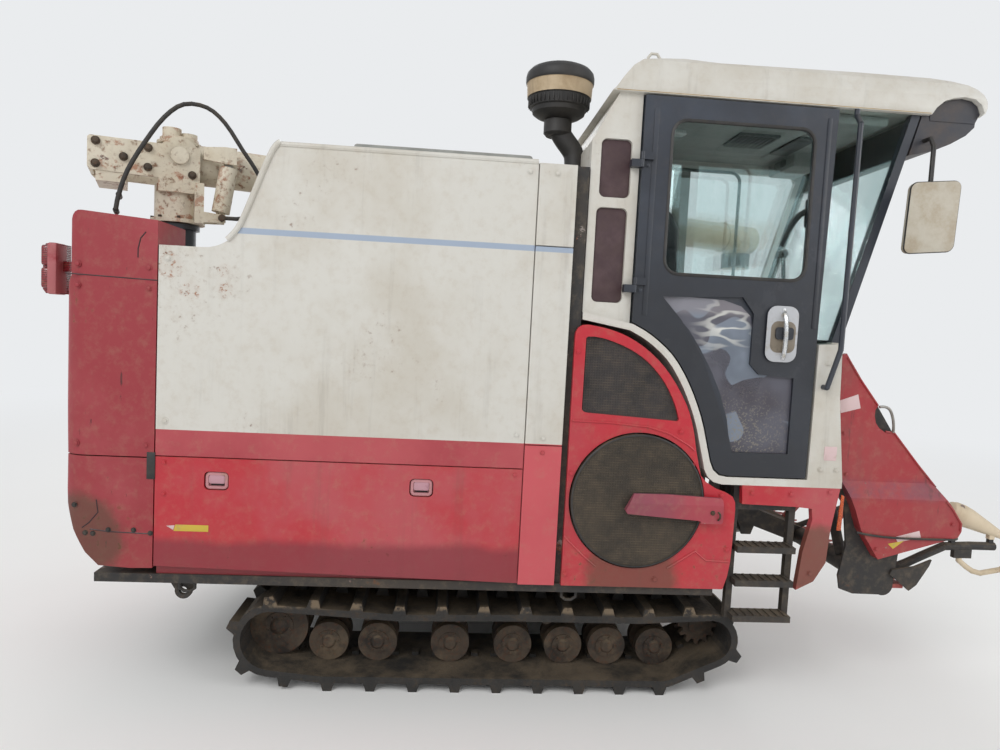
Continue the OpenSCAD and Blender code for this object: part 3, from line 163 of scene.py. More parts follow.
class Finish:
    """A procedural finish, built on the Principled shader from expressions."""

    def __init__(self, name, **constants):
        self.material = bpy.data.materials.new(name)
        self.material.use_nodes = True
        self.tree = self.material.node_tree
        self.tree.nodes.clear()
        self.output = self.tree.nodes.new("ShaderNodeOutputMaterial")
        self.shader = self.tree.nodes.new("ShaderNodeBsdfPrincipled")
        self.tree.links.new(self.shader.outputs[0], self.output.inputs["Surface"])
        for socket, constant in constants.items():
            self.shader.inputs[socket.replace("_", " ")].default_value = constant
        self.place = self.node("ShaderNodeTexCoord", output="Object")
        self.across, self.depth, self.height = (
            self.node("ShaderNodeSeparateXYZ", {}, {0: self.place}, output=axis) for axis in "XYZ"
        )

    def node(self, kind, settings=None, inputs=None, output=0):
        made = self.tree.nodes.new(kind)
        for key, value in (settings or {}).items():
            setattr(made, key, value)
        for key, value in (inputs or {}).items():
            if isinstance(value, Value):
                self.tree.links.new(value.socket, made.inputs[key])
            else:
                made.inputs[key].default_value = value
        return Value(self, made.outputs[output])

    def noise(self, scale, detail=4.0, roughness=0.6, stretch=None, offset=0.0):
        place = self.place
        if stretch or offset:
            place = self.node(
                "ShaderNodeMapping",
                {},
                {"Vector": place, "Scale": stretch or (1, 1, 1), "Location": [offset] * 3},
            )
        return self.node(
            "ShaderNodeTexNoise",
            {},
            {"Vector": place, "Scale": scale, "Detail": detail, "Roughness": roughness},
        )

    def cells(self, scale):
        return self.node("ShaderNodeTexVoronoi", {}, {"Vector": self.place, "Scale": scale})

    def band(self, value, low, high):
        """0 below low, 1 above high and smooth between; low may be the larger."""
        return self.node(
            "ShaderNodeMapRange",
            {"interpolation_type": "SMOOTHSTEP"},
            {0: value, 1: low, 2: high, 3: 0.0, 4: 1.0},
        )

    def over(self, level, soft=0.001):
        """1 above a height, with a soft edge."""
        return self.band(self.height, level - soft, level + soft)

    def between(self, low, high, soft=0.001):
        """1 between two heights."""
        return self.over(low, soft) * self.band(self.height, high + soft, high - soft)

    def near(self, point, radius):
        """1 at a point of the machine, falling to 0 at a distance."""
        gap = self.node(
            "ShaderNodeVectorMath", {"operation": "DISTANCE"}, {0: self.place, 1: point}, output=1
        )
        return self.band(gap, radius, 0.0)

    def upward(self):
        normal = self.node("ShaderNodeNewGeometry", output="Normal")
        lift = self.node("ShaderNodeSeparateXYZ", {}, {0: normal}, output="Z")
        return self.band(lift, 0.35, 0.9)

    def blend(self, factor, first, second):
        def whole(colour):
            return colour if isinstance(colour, Value) else tuple(colour)[:3] + (1.0,)

        return self.node(
            "ShaderNodeMix",
            {"data_type": "RGBA", "clamp_factor": True},
            {0: factor, 6: whole(first), 7: whole(second)},
            output=2,
        )

    def set(self, socket, value):
        self.tree.links.new(value.socket, self.shader.inputs[socket])

    def coat(self, factor, colour):
        """Lays a colour over what the finish has so far."""
        below = Value(self, self.shader.inputs["Base Color"].links[0].from_socket)
        self.set("Base Color", self.blend(factor, below, colour))
        return self

    def bump(self, height, strength, distance=0.01):
        settings = {"Height": height, "Strength": strength, "Distance": distance}
        self.set("Normal", self.node("ShaderNodeBump", {}, settings))


FINISHES = {}


def finish(name):
    """A finish by name, made once."""
    if name not in FINISHES:
        FINISHES[name] = RECIPES[name]().material
    return FINISHES[name]


def weathered(name, base, faded, dirt=0.35, rust=0.25, chips=0.0, rough=0.42, low=0.9, spots=(),
              scratches=0.2, coat=0.15, streaks=0.35, grain=0.18):
    """Sheet paint with sun fading, vertical dirt streaks, dust, rust specks, chips and dents."""
    c = colours()
    f = Finish(name, Coat_Roughness=0.35)
    cloud = f.noise(1.7, 5, 0.62)
    fine = f.noise(23, 6, 0.7)
    run = f.noise(1.0, 5, 0.65, stretch=(16, 16, 1.1))
    colour = f.blend(f.band(cloud, 0.4, 0.66), base, faded)
    colour = f.blend(f.band(fine, 0.45, 0.75) * grain, colour, c.dust)
    streak = f.band(run, 0.54, 0.74) * f.band(cloud, 0.3, 0.6)
    colour = f.blend(streak * streaks * 0.6, colour, c.mud)
    settled = f.upward() * 0.55 + f.band(f.height + cloud * 0.5, low + 0.25, low - 0.35)
    settled = settled * f.band(f.noise(6, 7, 0.7, offset=3.0), 0.25, 0.75) * dirt
    colour = f.blend(settled, colour, c.dust)
    splash = f.band(f.height + fine * 0.25, low, low - 0.3)
    splash = splash * f.band(f.noise(11, 8, 0.72), 0.46, 0.62)
    colour = f.blend(splash * min(1.0, dirt * 1.4), colour, c.mud)
    cluster = f.band(f.noise(2.3, 3, 0.5, offset=7.0), 0.56, 0.72)
    for point, radius in spots:
        cluster = cluster.greater(f.near(point, radius))
    speck = f.band(f.noise(38, 5, 0.6, offset=1.0), 0.66 - 0.12 * rust, 0.69) * cluster
    colour = f.blend(speck * min(1.0, rust * 2.5), colour, c.rust)
    halo = f.band(f.noise(38, 5, 0.6, offset=1.0), 0.5, 0.66) * cluster * rust
    colour = f.blend(halo * 0.6, colour, f.blend(0.5, c.rust, c.dust))
    scratch = f.band(f.noise(5.0, 9, 0.85, stretch=(0.8, 0.8, 14), offset=5.0), 0.665, 0.70)
    colour = f.blend(scratch * scratches, colour, f.blend(0.6, faded, (0.75, 0.72, 0.68)))
    if chips:
        chip = f.band(f.noise(7.5, 8, 0.72, offset=11.0), 0.66 - chips * 0.14, 0.67 - chips * 0.12)
        colour = f.blend(chip, colour, f.blend(f.band(fine, 0.4, 0.6), c.rust, (0.24, 0.21, 0.19)))
    f.set("Base Color", colour)
    f.set("Roughness", rough + settled * 0.5 + speck * 0.3 + f.band(cloud, 0.3, 0.7) * 0.12)
    f.set("Coat Weight", (1 - f.band(settled, 0.0, 0.4)) * coat)
    dent = f.noise(1.4, 2, 0.4, offset=2.0)
    f.bump(dent * 0.9 + fine * 0.05 + speck * 0.12, 0.35, 0.012)
    return f


def cream_paint():
    c = colours()
    return weathered("cream paint", c.cream, tint(192, 187, 176), dirt=0.28, rust=0.3, low=0.6,
                     spots=(((-1.6, SIDE, 1.72), 0.3), ((-1.42, SIDE, 1.66), 0.16)))


def tank_paint():
    """Cream above the border, faded red below, and the pale stripe along the top."""
    c = colours()
    f = weathered("tank paint", c.cream, tint(194, 189, 178), dirt=0.22, rust=0.42, low=0.6,
                  spots=(((-1.68, SIDE, 1.75), 0.26), ((-1.6, SIDE, 1.66), 0.2),
                         ((-1.47, SIDE, 1.71), 0.14), ((-1.66, SIDE, 1.52), 0.1)))
    red = f.blend(f.band(f.noise(2.2, 5, 0.6), 0.35, 0.7), c.faded_red, tint(160, 52, 62))
    red = f.blend(f.band(f.across, -0.276, -0.274) * 0.6, red, tint(204, 84, 92))
    red = f.blend(f.band(f.noise(19, 7, 0.7), 0.5, 0.7) * 0.15, red, c.dust)
    f.coat(1 - f.over(TANK_BORDER, 0.0005), red)
    f.coat(f.between(*TANK_STRIPE) * 0.9, c.stripe)
    blot = f.band(f.noise(55, 6, 0.75, offset=12.0), 0.53, 0.6)
    for point, radius in (((-1.683, SIDE, 1.754), 0.05), ((-1.606, SIDE, 1.663), 0.04),
                          ((-1.476, SIDE, 1.747), 0.028), ((-1.474, SIDE, 1.67), 0.03),
                          ((-1.755, SIDE, 1.616), 0.035), ((-1.7, SIDE, 1.83), 0.03)):
        spot = f.band(f.near(point, radius * 1.4), 0.02, 0.5)
        f.coat(spot * 0.06 + spot * blot * 0.8, tint(146, 88, 46))
    return f


def red_paint():
    c = colours()
    return weathered("red paint", c.red, c.faded_red, dirt=0.42, rust=0.3, low=0.78, rough=0.4,
                     spots=(((-1.5, SIDE, 0.62), 0.2), ((-0.9, SIDE, 0.6), 0.3)))


def stained(f, point, radius, stain, strength):
    """Lays a ragged stain over a finish around a point."""
    ragged = f.near(point, radius) + f.noise(6, 7, 0.7, offset=8.0) * 0.5
    return f.coat(f.band(ragged, 0.5, 0.8) * strength, stain)


def lower_red():
    """The lower body's red, a dark maroon near its lower edge."""
    c = colours()
    f = weathered("lower body red", c.red, c.faded_red, dirt=0.4, rust=0.3, low=0.78, rough=0.4,
                  spots=(((-1.5, SIDE, 0.62), 0.2), ((-0.9, SIDE, 0.6), 0.3)))
    ragged = f.height + f.noise(3.0, 6, 0.6, offset=4.0) * 0.08
    return f.coat(f.band(ragged, 0.74, 0.69) * 0.75, tint(118, 34, 46))


def engine_red():
    f = weathered("engine cover red", tint(184, 30, 46), tint(174, 52, 62), dirt=0.35, rust=0.4,
                  low=0.72, spots=(((0.55, SIDE, 0.6), 0.25), ((0.0, SIDE, 0.58), 0.2)))
    return stained(f, (0.2, SIDE, 0.56), 0.34, tint(86, 62, 44), 0.7)


def skirt_red():
    c = colours()
    f = weathered("skirt red", c.red, c.faded_red, dirt=0.42, rust=0.35, low=0.78, rough=0.45)
    return stained(f, (1.0, SIDE, 0.66), 0.26, tint(92, 66, 48), 0.75)


def rear_red():
    c = colours()
    f = weathered("rear cover red", c.old_red, tint(160, 68, 74), dirt=0.3, rust=0.4,
                  rough=0.55, low=0.7, scratches=0.3, coat=0.0,
                  spots=(((-1.95, SIDE, 0.66), 0.3), ((-2.05, SIDE, 1.55), 0.15)))
    # A pale pink strip along the rounded rear edge: a painted highlight, ragged by noise.
    edge = f.band(f.across, -2.06, -2.085) * f.band(f.noise(9, 6, 0.7), 0.3, 0.5)
    f.coat(edge * 0.6, tint(178, 112, 114))
    nick = f.band(f.noise(1.0, 8, 0.8, stretch=(26, 26, 5), offset=6.0), 0.63, 0.66)
    f.coat(nick * 0.8, tint(62, 30, 30))
    return stained(f, (-2.02, SIDE, 0.68), 0.3, tint(78, 60, 44), 0.7)


def header_red():
    """The header's red, with a worn belt round its fold and dark smudges."""
    f = weathered("header red", tint(154, 36, 44), tint(150, 58, 60), dirt=0.4, rust=0.5,
                  chips=0.12, rough=0.5, low=0.8, scratches=0.5)
    worn = f.band(f.noise(5, 8, 0.75, offset=4.0), 0.36, 0.6)
    f.coat(f.between(*HEADER_FOLD, 0.02) * worn * 0.6, tint(104, 58, 76))
    smudge = f.band(f.noise(1.0, 7, 0.75, stretch=(14, 14, 2.2), offset=2.0), 0.56, 0.66)
    return f.coat(smudge * 0.55, tint(74, 40, 38))


def black_paint():
    c = colours()
    # Blue-black with paler blue patches: partly the paint's own colour, partly a painted sky
    # reflection.
    return weathered("black paint", c.black, tint(46, 52, 63), dirt=0.1, rust=0.0, rough=0.33,
                     low=1.0, scratches=0.3, coat=0.25, streaks=0.1, grain=0.04)


def peeled_black_with_painted_reflection():
    """Black door paint that peels to grey near its lower front corner, with a painted sky
    reflection: lighter and bluer at the top, darker low down.
    """
    c = colours()
    f = weathered("peeled black paint", c.black, tint(48, 55, 67), dirt=0.08, rust=0.0, rough=0.36,
                  low=1.0, scratches=0.3, coat=0.25, streaks=0.08, grain=0.03)
    peel = f.band(f.noise(9, 9, 0.78, offset=6.0), 0.55, 0.58) * f.near((0.86, SIDE, 1.62), 0.75)
    f.coat(peel * 0.35, tint(82, 84, 92))
    # Darker below about 1.9 m: painted shading of the sky reflection, which leaves the door's top
    # lighter.
    return f.coat(f.band(f.height, 2.1, 1.7) * 0.6, tint(17, 19, 25))


def front_cream():
    """The cab's front: cream below the windscreen and black round it."""
    c = colours()
    f = weathered("cab front paint", c.cream, tint(192, 187, 176), dirt=0.28, rust=0.3, low=0.6)
    return f.coat(f.over(WINDSCREEN_FOOT, 0.0005), c.black)


def frame_paint():
    c = colours()
    return weathered("frame paint", c.frame_grey, tint(60, 54, 48), dirt=0.4, rust=0.55, chips=0.2,
                     rough=0.6, low=0.5, coat=0.0)


def rusty_iron():
    c = colours()
    f = Finish("rusty iron", Metallic=0.35)
    patch = f.noise(9, 8, 0.7)
    grit = f.noise(70, 6, 0.7)
    colour = f.blend(f.band(patch, 0.35, 0.65), tint(48, 43, 39), tint(90, 78, 66))
    colour = f.blend(f.band(grit, 0.5, 0.7) * 0.6, colour, c.rust)
    colour = f.blend(f.upward() * 0.35 + f.band(f.noise(5, 7, 0.7, offset=3.0), 0.5, 0.7) * 0.3,
                     colour, c.dust)
    f.set("Base Color", colour)
    f.set("Roughness", 0.55 + f.band(patch, 0.3, 0.7) * 0.3)
    f.bump(patch * 0.4 + grit * 0.3, 0.6, 0.006)
    return f


def worn_steel():
    c = colours()
    f = Finish("worn steel", Metallic=0.8)
    patch = f.noise(6, 7, 0.65)
    grit = f.noise(60, 6, 0.7)
    colour = f.blend(f.band(patch, 0.45, 0.7), tint(150, 147, 142), tint(104, 92, 80))
    colour = f.blend(f.band(grit, 0.56, 0.7) * f.band(patch, 0.4, 0.6), colour, c.rust)
    f.set("Base Color", colour)
    f.set("Roughness", 0.35 + f.band(patch, 0.3, 0.7) * 0.3)
    f.bump(grit, 0.2, 0.003)
    return f


def auger_cream():
    f = weathered("auger cream", tint(212, 204, 186), tint(194, 180, 154), dirt=0.35, rust=0.8,
                  chips=0.3, rough=0.5, low=0.5, coat=0.0,
                  spots=(((-1.95, -0.6, 2.15), 0.5), ((-1.6, -0.5, 2.1), 0.3)))
    rust = f.band(f.noise(14, 8, 0.74, offset=9.0), 0.54, 0.62) * f.near((-1.9, -0.55, 2.1), 0.9)
    return f.coat(rust * 0.8, tint(150, 86, 50))


def nose_cream():
    return weathered("divider cream", tint(208, 192, 166), tint(180, 162, 132), dirt=0.4, rust=0.6,
                     chips=0.3, rough=0.5, low=0.5, coat=0.0)


def track_rubber():
    c = colours()
    f = Finish("track rubber")
    patch = f.noise(5, 8, 0.7)
    grit = f.noise(42, 8, 0.75)
    colour = f.blend(f.band(patch, 0.35, 0.7), tint(34, 33, 32), tint(54, 50, 46))
    caked = f.band(grit * 0.6 + patch * 0.4, 0.5, 0.6)
    colour = f.blend(caked * 0.5, colour, tint(76, 64, 52))
    colour = f.blend(f.upward() * f.band(patch, 0.3, 0.6) * 0.25, colour, c.dust)
    outer = f.band(f.depth * f.depth, 0.6, 0.66) * f.band(f.height, 0.35, 0.37)
    dried = f.band(f.noise(16, 6, 0.7, offset=5.0), 0.44, 0.54)
    colour = f.blend(outer * dried * 0.75, colour, tint(150, 130, 104))
    f.set("Base Color", colour)
    f.set("Roughness", 0.72 + caked * 0.2)
    f.bump(grit * 0.7 + patch * 0.5, 0.7, 0.008)
    return f


def dusty_tan(f, patch, fresh, worn):
    """Tan plastic with brown runs down it."""
    tan = f.blend(f.band(patch, 0.35, 0.7), fresh, worn)
    run = f.noise(1.0, 5, 0.65, stretch=(40, 40, 2))
    return f.blend(f.band(run, 0.5, 0.75) * 0.4, tan, colours().mud)


def cleaner_plastic():
    """The precleaner: dark, with a dusty tan belt round its bowl."""
    f = Finish("precleaner plastic", Roughness=0.55)
    patch = f.noise(8, 7, 0.65)
    tan = dusty_tan(f, patch, tint(186, 166, 136), tint(152, 130, 100))
    dark = f.blend(f.band(patch, 0.4, 0.7), tint(34, 33, 33), tint(50, 47, 44))
    f.set("Base Color", f.blend(f.between(*CLEANER_BELT), dark, tan))
    f.bump(f.noise(160, 4, 0.6), 0.15, 0.002)
    return f


def tan_plastic():
    f = Finish("dusty tan plastic", Roughness=0.55)
    f.set("Base Color",
          dusty_tan(f, f.noise(8, 7, 0.65), tint(190, 170, 138), tint(160, 138, 106)))
    f.bump(f.noise(160, 4, 0.6), 0.15, 0.002)
    return f


def plain_plastic(name, base, worn, rough=0.5, dust=0.3):
    c = colours()
    f = Finish(name)
    patch = f.noise(7, 7, 0.65)
    colour = f.blend(f.band(patch, 0.4, 0.7), base, worn)
    settled = (f.upward() * 0.7 + 0.15) * f.band(f.noise(20, 6, 0.7), 0.35, 0.7) * dust
    colour = f.blend(settled, colour, c.dust)
    f.set("Base Color", colour)
    f.set("Roughness", rough + settled * 0.4)
    f.bump(f.noise(220, 3, 0.5), 0.12, 0.0015)
    return f


def worn_purple():
    f = weathered("suction bar red", tint(160, 58, 70), tint(134, 62, 76), dirt=0.4, rust=0.6,
                  chips=0.3, rough=0.5, low=0.5, scratches=0.6)
    return f.coat(f.upward() * 0.5, tint(112, 62, 92))


def lamp_red():
    f = Finish("lamp red", Roughness=0.22, Transmission_Weight=0.0, Coat_Weight=0.6)
    ribs = f.node("ShaderNodeMath", {"operation": "SINE"}, {0: f.height * 900.0})
    colour = f.blend(f.band(ribs, -0.6, 0.8), tint(86, 12, 20), tint(142, 26, 36))
    dusty = f.band(f.noise(20, 6, 0.7), 0.5, 0.75) * 0.4
    f.set("Base Color", f.blend(dusty, colour, colours().dust))
    f.bump(ribs, 0.25, 0.001)
    return f


def lamp_clear():
    f = Finish("lamp lens", Roughness=0.12, Coat_Weight=0.5)
    ribs = f.node("ShaderNodeMath", {"operation": "SINE"}, {0: f.across * 700.0})
    f.set("Base Color", f.blend(f.band(ribs, -0.8, 0.8), tint(150, 152, 150), tint(206, 208, 204)))
    f.bump(ribs, 0.3, 0.001)
    return f


def orange_reflector():
    f = Finish("orange reflector", Roughness=0.2, Coat_Weight=0.5)
    cell = f.cells(160)
    f.set("Base Color", f.blend(f.band(cell, 0.1, 0.6), tint(214, 96, 22), tint(168, 62, 12)))
    f.bump(cell, 0.3, 0.001)
    return f


def cab_glass():
    c = colours()
    f = Finish("cab glass", Roughness=0.04, Transmission_Weight=1.0, IOR=1.15)
    smear = f.noise(1.0, 6, 0.7, stretch=(3, 3, 1.2))
    dirt = f.band(smear, 0.45, 0.8) * 0.22 + f.band(f.noise(55, 5, 0.7), 0.62, 0.7) * 0.2
    f.set("Base Color", f.blend(dirt, c.glass, c.dust))
    f.set("Roughness", 0.03 + dirt * 0.6)
    f.set("Alpha", 0.26 + dirt * 0.9)
    return f


def torn_film():
    """The film on the lower pane: bluish grey folds, pale creases and grit low down."""
    f = Finish("creased film", Roughness=0.25)
    folds = f.noise(4.6, 1, 0.4, offset=2.0)
    pale = f.band(folds, 0.49, 0.505) * f.band(f.noise(3.4, 1, 0.3, offset=5.0), 0.44, 0.455)
    colour = f.blend(f.band(f.noise(2.6, 3, 0.5), 0.42, 0.6), tint(72, 68, 76), tint(92, 92, 102))
    colour = f.blend(pale * 0.85, colour, tint(126, 136, 150))
    sheen = f.band(f.height, 1.66, 1.7) * 0.7
    colour = f.blend(sheen, colour, tint(138, 134, 140))
    ripple = f.noise(6, 2, 0.4, stretch=(0.7, 0.7, 2.4), offset=7.0)
    glare = f.band(ripple, 0.47, 0.5) * f.band(ripple, 0.55, 0.52)
    glare = glare * f.near((0.54, -0.885, 1.63), 0.17)
    colour = f.blend(glare * 0.9, colour, tint(222, 222, 216))
    grit = f.band(f.noise(120, 4, 0.6), 0.54, 0.6) * f.near((0.64, -0.9, 1.16), 0.3)
    colour = f.blend(grit * 0.8, colour, tint(134, 128, 116))
    f.set("Base Color", colour)
    f.set("Alpha", 0.94 - f.band(f.noise(3, 4, 0.5, offset=9.0), 0.55, 0.7) * 0.3)
    f.bump(folds, 0.2, 0.004)
    return f


def chrome():
    f = Finish("worn chrome", Metallic=0.9)
    f.set("Base Color", f.blend(f.band(f.noise(30, 6, 0.7), 0.5, 0.7), tint(212, 214, 216),
                                tint(176, 168, 152)))
    f.set("Roughness", 0.16 + f.band(f.noise(60, 4, 0.6), 0.4, 0.7) * 0.25)
    return f


def seat_cloth():
    f = Finish("seat cloth", Roughness=0.85, Sheen_Weight=0.3)
    weave = f.node("ShaderNodeTexWave", {"wave_type": "BANDS"},
                   {"Vector": f.place, "Scale": 190.0, "Distortion": 1.0})
    colour = f.blend(f.band(f.noise(9, 6, 0.6), 0.4, 0.7), tint(40, 40, 43), tint(62, 60, 60))
    f.set("Base Color", f.blend(f.band(weave, 0.3, 0.8) * 0.35, colour, tint(88, 86, 86)))
    f.bump(weave, 0.25, 0.001)
    return f


def blank_label(name, base, edge=None):
    f = Finish(name)
    worn = f.noise(30, 7, 0.7)
    colour = f.blend(f.band(worn, 0.52, 0.7) * 0.6, base, edge or colours().dust)
    f.set("Base Color", colour)
    f.set("Roughness", 0.4 + f.band(worn, 0.4, 0.7) * 0.3)
    return f


RECIPES = {
    "cream": cream_paint,
    "front cream": front_cream,
    "tank": tank_paint,
    "red": red_paint,
    "lower red": lower_red,
    "skirt red": skirt_red,
    "engine red": engine_red,
    "rear red": rear_red,
    "header red": header_red,
    "black": black_paint,
    "peeled black": peeled_black_with_painted_reflection,
    "frame": frame_paint,
    "rusty iron": rusty_iron,
    "steel": worn_steel,
    "auger cream": auger_cream,
    "nose cream": nose_cream,
    "rubber": track_rubber,
    "tan": tan_plastic,
    "cleaner": cleaner_plastic,
    "bar": worn_purple,
    "lamp red": lamp_red,
    "lamp clear": lamp_clear,
    "reflector": orange_reflector,
    "glass": cab_glass,
    "chrome": chrome,
    "film": torn_film,
    "cloth": seat_cloth,
    "yellow label": lambda: blank_label("yellow label", colours().sticker),
}
# Name, fresh colour and worn colour, then the roughness and the share of dust
PLASTICS = {
    "black plastic": ("black plastic", tint(30, 30, 31), tint(48, 47, 47)),
    "visor": ("visor lining", tint(44, 46, 54), tint(66, 56, 52)),
    "vent brown": ("brown vent", tint(62, 42, 46), tint(78, 58, 62), 0.6, 0.25),
    "mirror back": ("mirror back", tint(184, 178, 164), tint(160, 146, 124), 0.5, 0.5),
    "screen": ("screen mesh", tint(54, 48, 41), tint(72, 63, 52), 0.6, 0.5),
    "mesh": ("dark mesh wire", tint(58, 54, 54), tint(40, 38, 38), 0.5, 0.5),
    "hose": ("hose rubber", tint(24, 24, 25), tint(42, 41, 40), 0.6, 0.5),
    "lining": ("grey lining", tint(150, 152, 148), tint(128, 130, 126), 0.7),
}
# Name, colour and the colour of the worn patches, which is dust if none is given
PLATES = {
    "pale label": ("pale label", tint(208, 182, 182)),
    "pink label": ("pink label", tint(186, 132, 136)),
    "lever pink": ("lever pink", tint(184, 140, 150), tint(160, 112, 124)),
    "lock plate": ("lock plate", tint(178, 180, 184), tint(150, 140, 124)),
    "lock recess": ("lock recess", tint(122, 112, 98), tint(84, 78, 72)),
    # Lines for the rear covers' folds and seams: a darker copy of their red, partly painted shade.
    "seam and fold shade": ("painted seam and fold shade", tint(44, 20, 25), tint(60, 34, 34)),
}
RECIPES.update({key: partial(plain_plastic, *row) for key, row in PLASTICS.items()})
RECIPES.update({key: partial(blank_label, *row) for key, row in PLATES.items()})

NODE_FINISH = {
    "tank": ("grain_tank", "front_panels"),
    "cream": ("cab_floor", "cab_walls", "cab_side_panel", "cab_roof"),
    "front cream": ("cab_front",),
    "nose cream": ("dividers",),
    "lower red": ("lower_body",),
    "skirt red": ("skirt",),
    "red": ("thresher_body", "thresher_cover", "straw_cutter"),
    "engine red": ("engine_cover",),
    "rear red": ("rear_cover_lower", "rear_cover_upper"),
    "header red": ("header_covers", "header_works"),
    "black": ("door_jamb", "grab_rail", "auger_column"),
    "peeled black": ("cab_door",),
    "frame": ("chassis_frame", "transmission", "track_frames", "partition", "ladder", "boom_rest",
              "header_frame", "header_cylinder"),
    "rusty iron": ("track_rollers", "drive_sprockets", "feed_chain"),
    "steel": ("chain_rails", "crop_guard", "engine_block", "auger_rod", "header_rod"),
    "auger cream": ("auger_turret", "auger_boom", "auger_cylinder"),
    "rubber": ("track_right", "track_left"),
    "cleaner": ("precleaner",),
    "mirror back": ("mirror",),
    "screen": ("rotary_screen",),
    "mesh": ("engine_mesh",),
    "bar": ("suction_bar",),
    "lamp red": ("tail_lamps",),
    "glass": ("cab_glass", "door_glass"),
    "hose": ("auger_hose",),
    "black plastic": ("console", "steering_column", "seat_stand"),
    "cloth": ("seat_cushion", "seat_back"),
}


def only(*pieces):
    """Selects these pieces alone and makes the first one active."""
    for other in bpy.context.selected_objects:
        other.select_set(False)
    for piece in pieces:
        piece.select_set(True)
    bpy.context.view_layer.objects.active = pieces[0]


def set_down(piece):
    """Moves the piece's place into its mesh."""
    only(piece)
    bpy.ops.object.transform_apply(location=True, rotation=True, scale=True)
    return piece


def aim(piece, direction, axis="Z"):
    """Turns one of the piece's own axes to a direction."""
    piece.rotation_mode = "QUATERNION"
    piece.rotation_quaternion = direction.to_track_quat(axis, "Y")


@contextmanager
def editing(piece):
    """Edit mode with the whole mesh selected, and object mode again afterwards."""
    only(piece)
    bpy.ops.object.mode_set(mode="EDIT")
    bpy.ops.mesh.select_all(action="SELECT")
    yield
    bpy.ops.object.mode_set(mode="OBJECT")


def modify(piece, kind, **settings):
    only(piece)
    modifier = piece.modifiers.new(kind.title(), kind)
    for key, value in settings.items():
        setattr(modifier, key, value)
    bpy.ops.object.modifier_apply(modifier=modifier.name)
    return piece


def round_edges(piece, width, segments=2):
    return modify(piece, "BEVEL", width=width, segments=segments, limit_method="ANGLE")


def outward(piece):
    """Merges doubles and turns all faces outwards."""
    with editing(piece):
        bpy.ops.mesh.remove_doubles(threshold=MERGE_DISTANCE)
        bpy.ops.mesh.normals_make_consistent(inside=False)
    return piece


def slab(outline, low, high, axis="Y", edge=0.0):
    """A plate: a filled circle whose corners are moved onto the outline, then extruded."""
    corner = {"X": lambda u, v: (low, u, v), "Y": lambda u, v: (u, low, v),
              "Z": lambda u, v: (u, v, low)}[axis]
    bpy.ops.mesh.primitive_circle_add(vertices=len(outline), radius=1, fill_type="NGON")
    piece = bpy.context.object
    for vertex, point in zip(piece.data.vertices, outline):
        vertex.co = corner(*point)
    step = Vector([high - low if axis == name else 0 for name in "XYZ"])
    with editing(piece):
        bpy.ops.mesh.extrude_region_move(TRANSFORM_OT_translate={"value": step})
    outward(piece)
    return round_edges(piece, edge) if edge else piece


def sticker(outline, face, thickness=0.0012):
    """A thin blank label on a face of the right side."""
    return slab(outline, face - thickness, face, edge=0.0004)


def on_side(points, y=SIDE):
    """Points of the side view, (x, z), set at one depth."""
    return [(x, y, z) for x, z in points]


def oblong(u0, v0, u1, v1, r, n=5):
    """The outline of a rectangle with round corners."""
    centres = ((u1 - r, v1 - r), (u0 + r, v1 - r), (u0 + r, v0 + r), (u1 - r, v0 + r))
    turns = [[math.radians(90 * k + 90 * i / n) for i in range(n + 1)] for k in range(4)]
    return [(u + r * math.cos(a), v + r * math.sin(a))
            for (u, v), quarter in zip(centres, turns) for a in quarter]


def plain_block(low, high):
    """A box between two corners."""
    bpy.ops.mesh.primitive_cube_add(size=1, location=[(a + b) / 2 for a, b in zip(low, high)])
    piece = bpy.context.object
    piece.scale = [b - a for a, b in zip(low, high)]
    return set_down(piece)


def block(low, high, edge=0.003):
    """A box with rounded edges."""
    return round_edges(plain_block(low, high), edge)


def drum(start, end, radius, sides=32, edge=0.0):
    """A round bar or disc between two points."""
    start, end = Vector(start), Vector(end)
    run = end - start
    bpy.ops.mesh.primitive_cylinder_add(vertices=sides, radius=radius, depth=run.length,
                                        location=(start + end) / 2)
    piece = bpy.context.object
    aim(piece, run)
    set_down(piece)
    return round_edges(piece, edge) if edge else piece


def turned(profile, centre, axis="Z", steps=48):
    """A turned piece: a profile of (radius, height) points spun round its axis."""
    bpy.ops.mesh.primitive_circle_add(vertices=len(profile), radius=1, fill_type="NOTHING")
    piece = bpy.context.object
    for vertex, (radius, height) in zip(piece.data.vertices, profile):
        vertex.co = (radius, 0, height)
    last = len(profile) - 1
    for edge in piece.data.edges:
        edge.select = set(edge.vertices) == {0, last}
    for vertex in piece.data.vertices:
        vertex.select = vertex.index in (0, last)
    only(piece)
    bpy.ops.object.mode_set(mode="EDIT")
    bpy.ops.mesh.select_mode(type="EDGE")
    bpy.ops.mesh.delete(type="EDGE")
    bpy.ops.object.mode_set(mode="OBJECT")
    modify(piece, "SCREW", angle=math.tau, steps=steps, render_steps=steps, axis="Z",
           use_merge_vertices=True, merge_threshold=MERGE_DISTANCE)
    if axis == "Y":
        piece.rotation_euler = (math.radians(90), 0, 0)
    piece.location = centre
    set_down(piece)
    return outward(piece)


def tube(points, radius, sides=10, curved=False):
    """A pipe through points: straight runs, or one smooth curve."""
    bpy.ops.curve.primitive_nurbs_path_add()
    piece = bpy.context.object
    curve = piece.data
    curve.splines.clear()
    spline = curve.splines.new("NURBS" if curved else "POLY")
    spline.points.add(len(points) - 1)
    for target, point in zip(spline.points, points):
        target.co = tuple(point) + (1.0,)
    if curved:
        spline.order_u = 4
        spline.use_endpoint_u = True
        curve.resolution_u = 6
    curve.dimensions = "3D"
    curve.bevel_depth = radius
    curve.bevel_resolution = max(0, (sides - 4) // 2)
    curve.use_fill_caps = True
    piece.location = (0, 0, 0)
    only(piece)
    bpy.ops.object.convert(target="MESH")
    return bpy.context.object


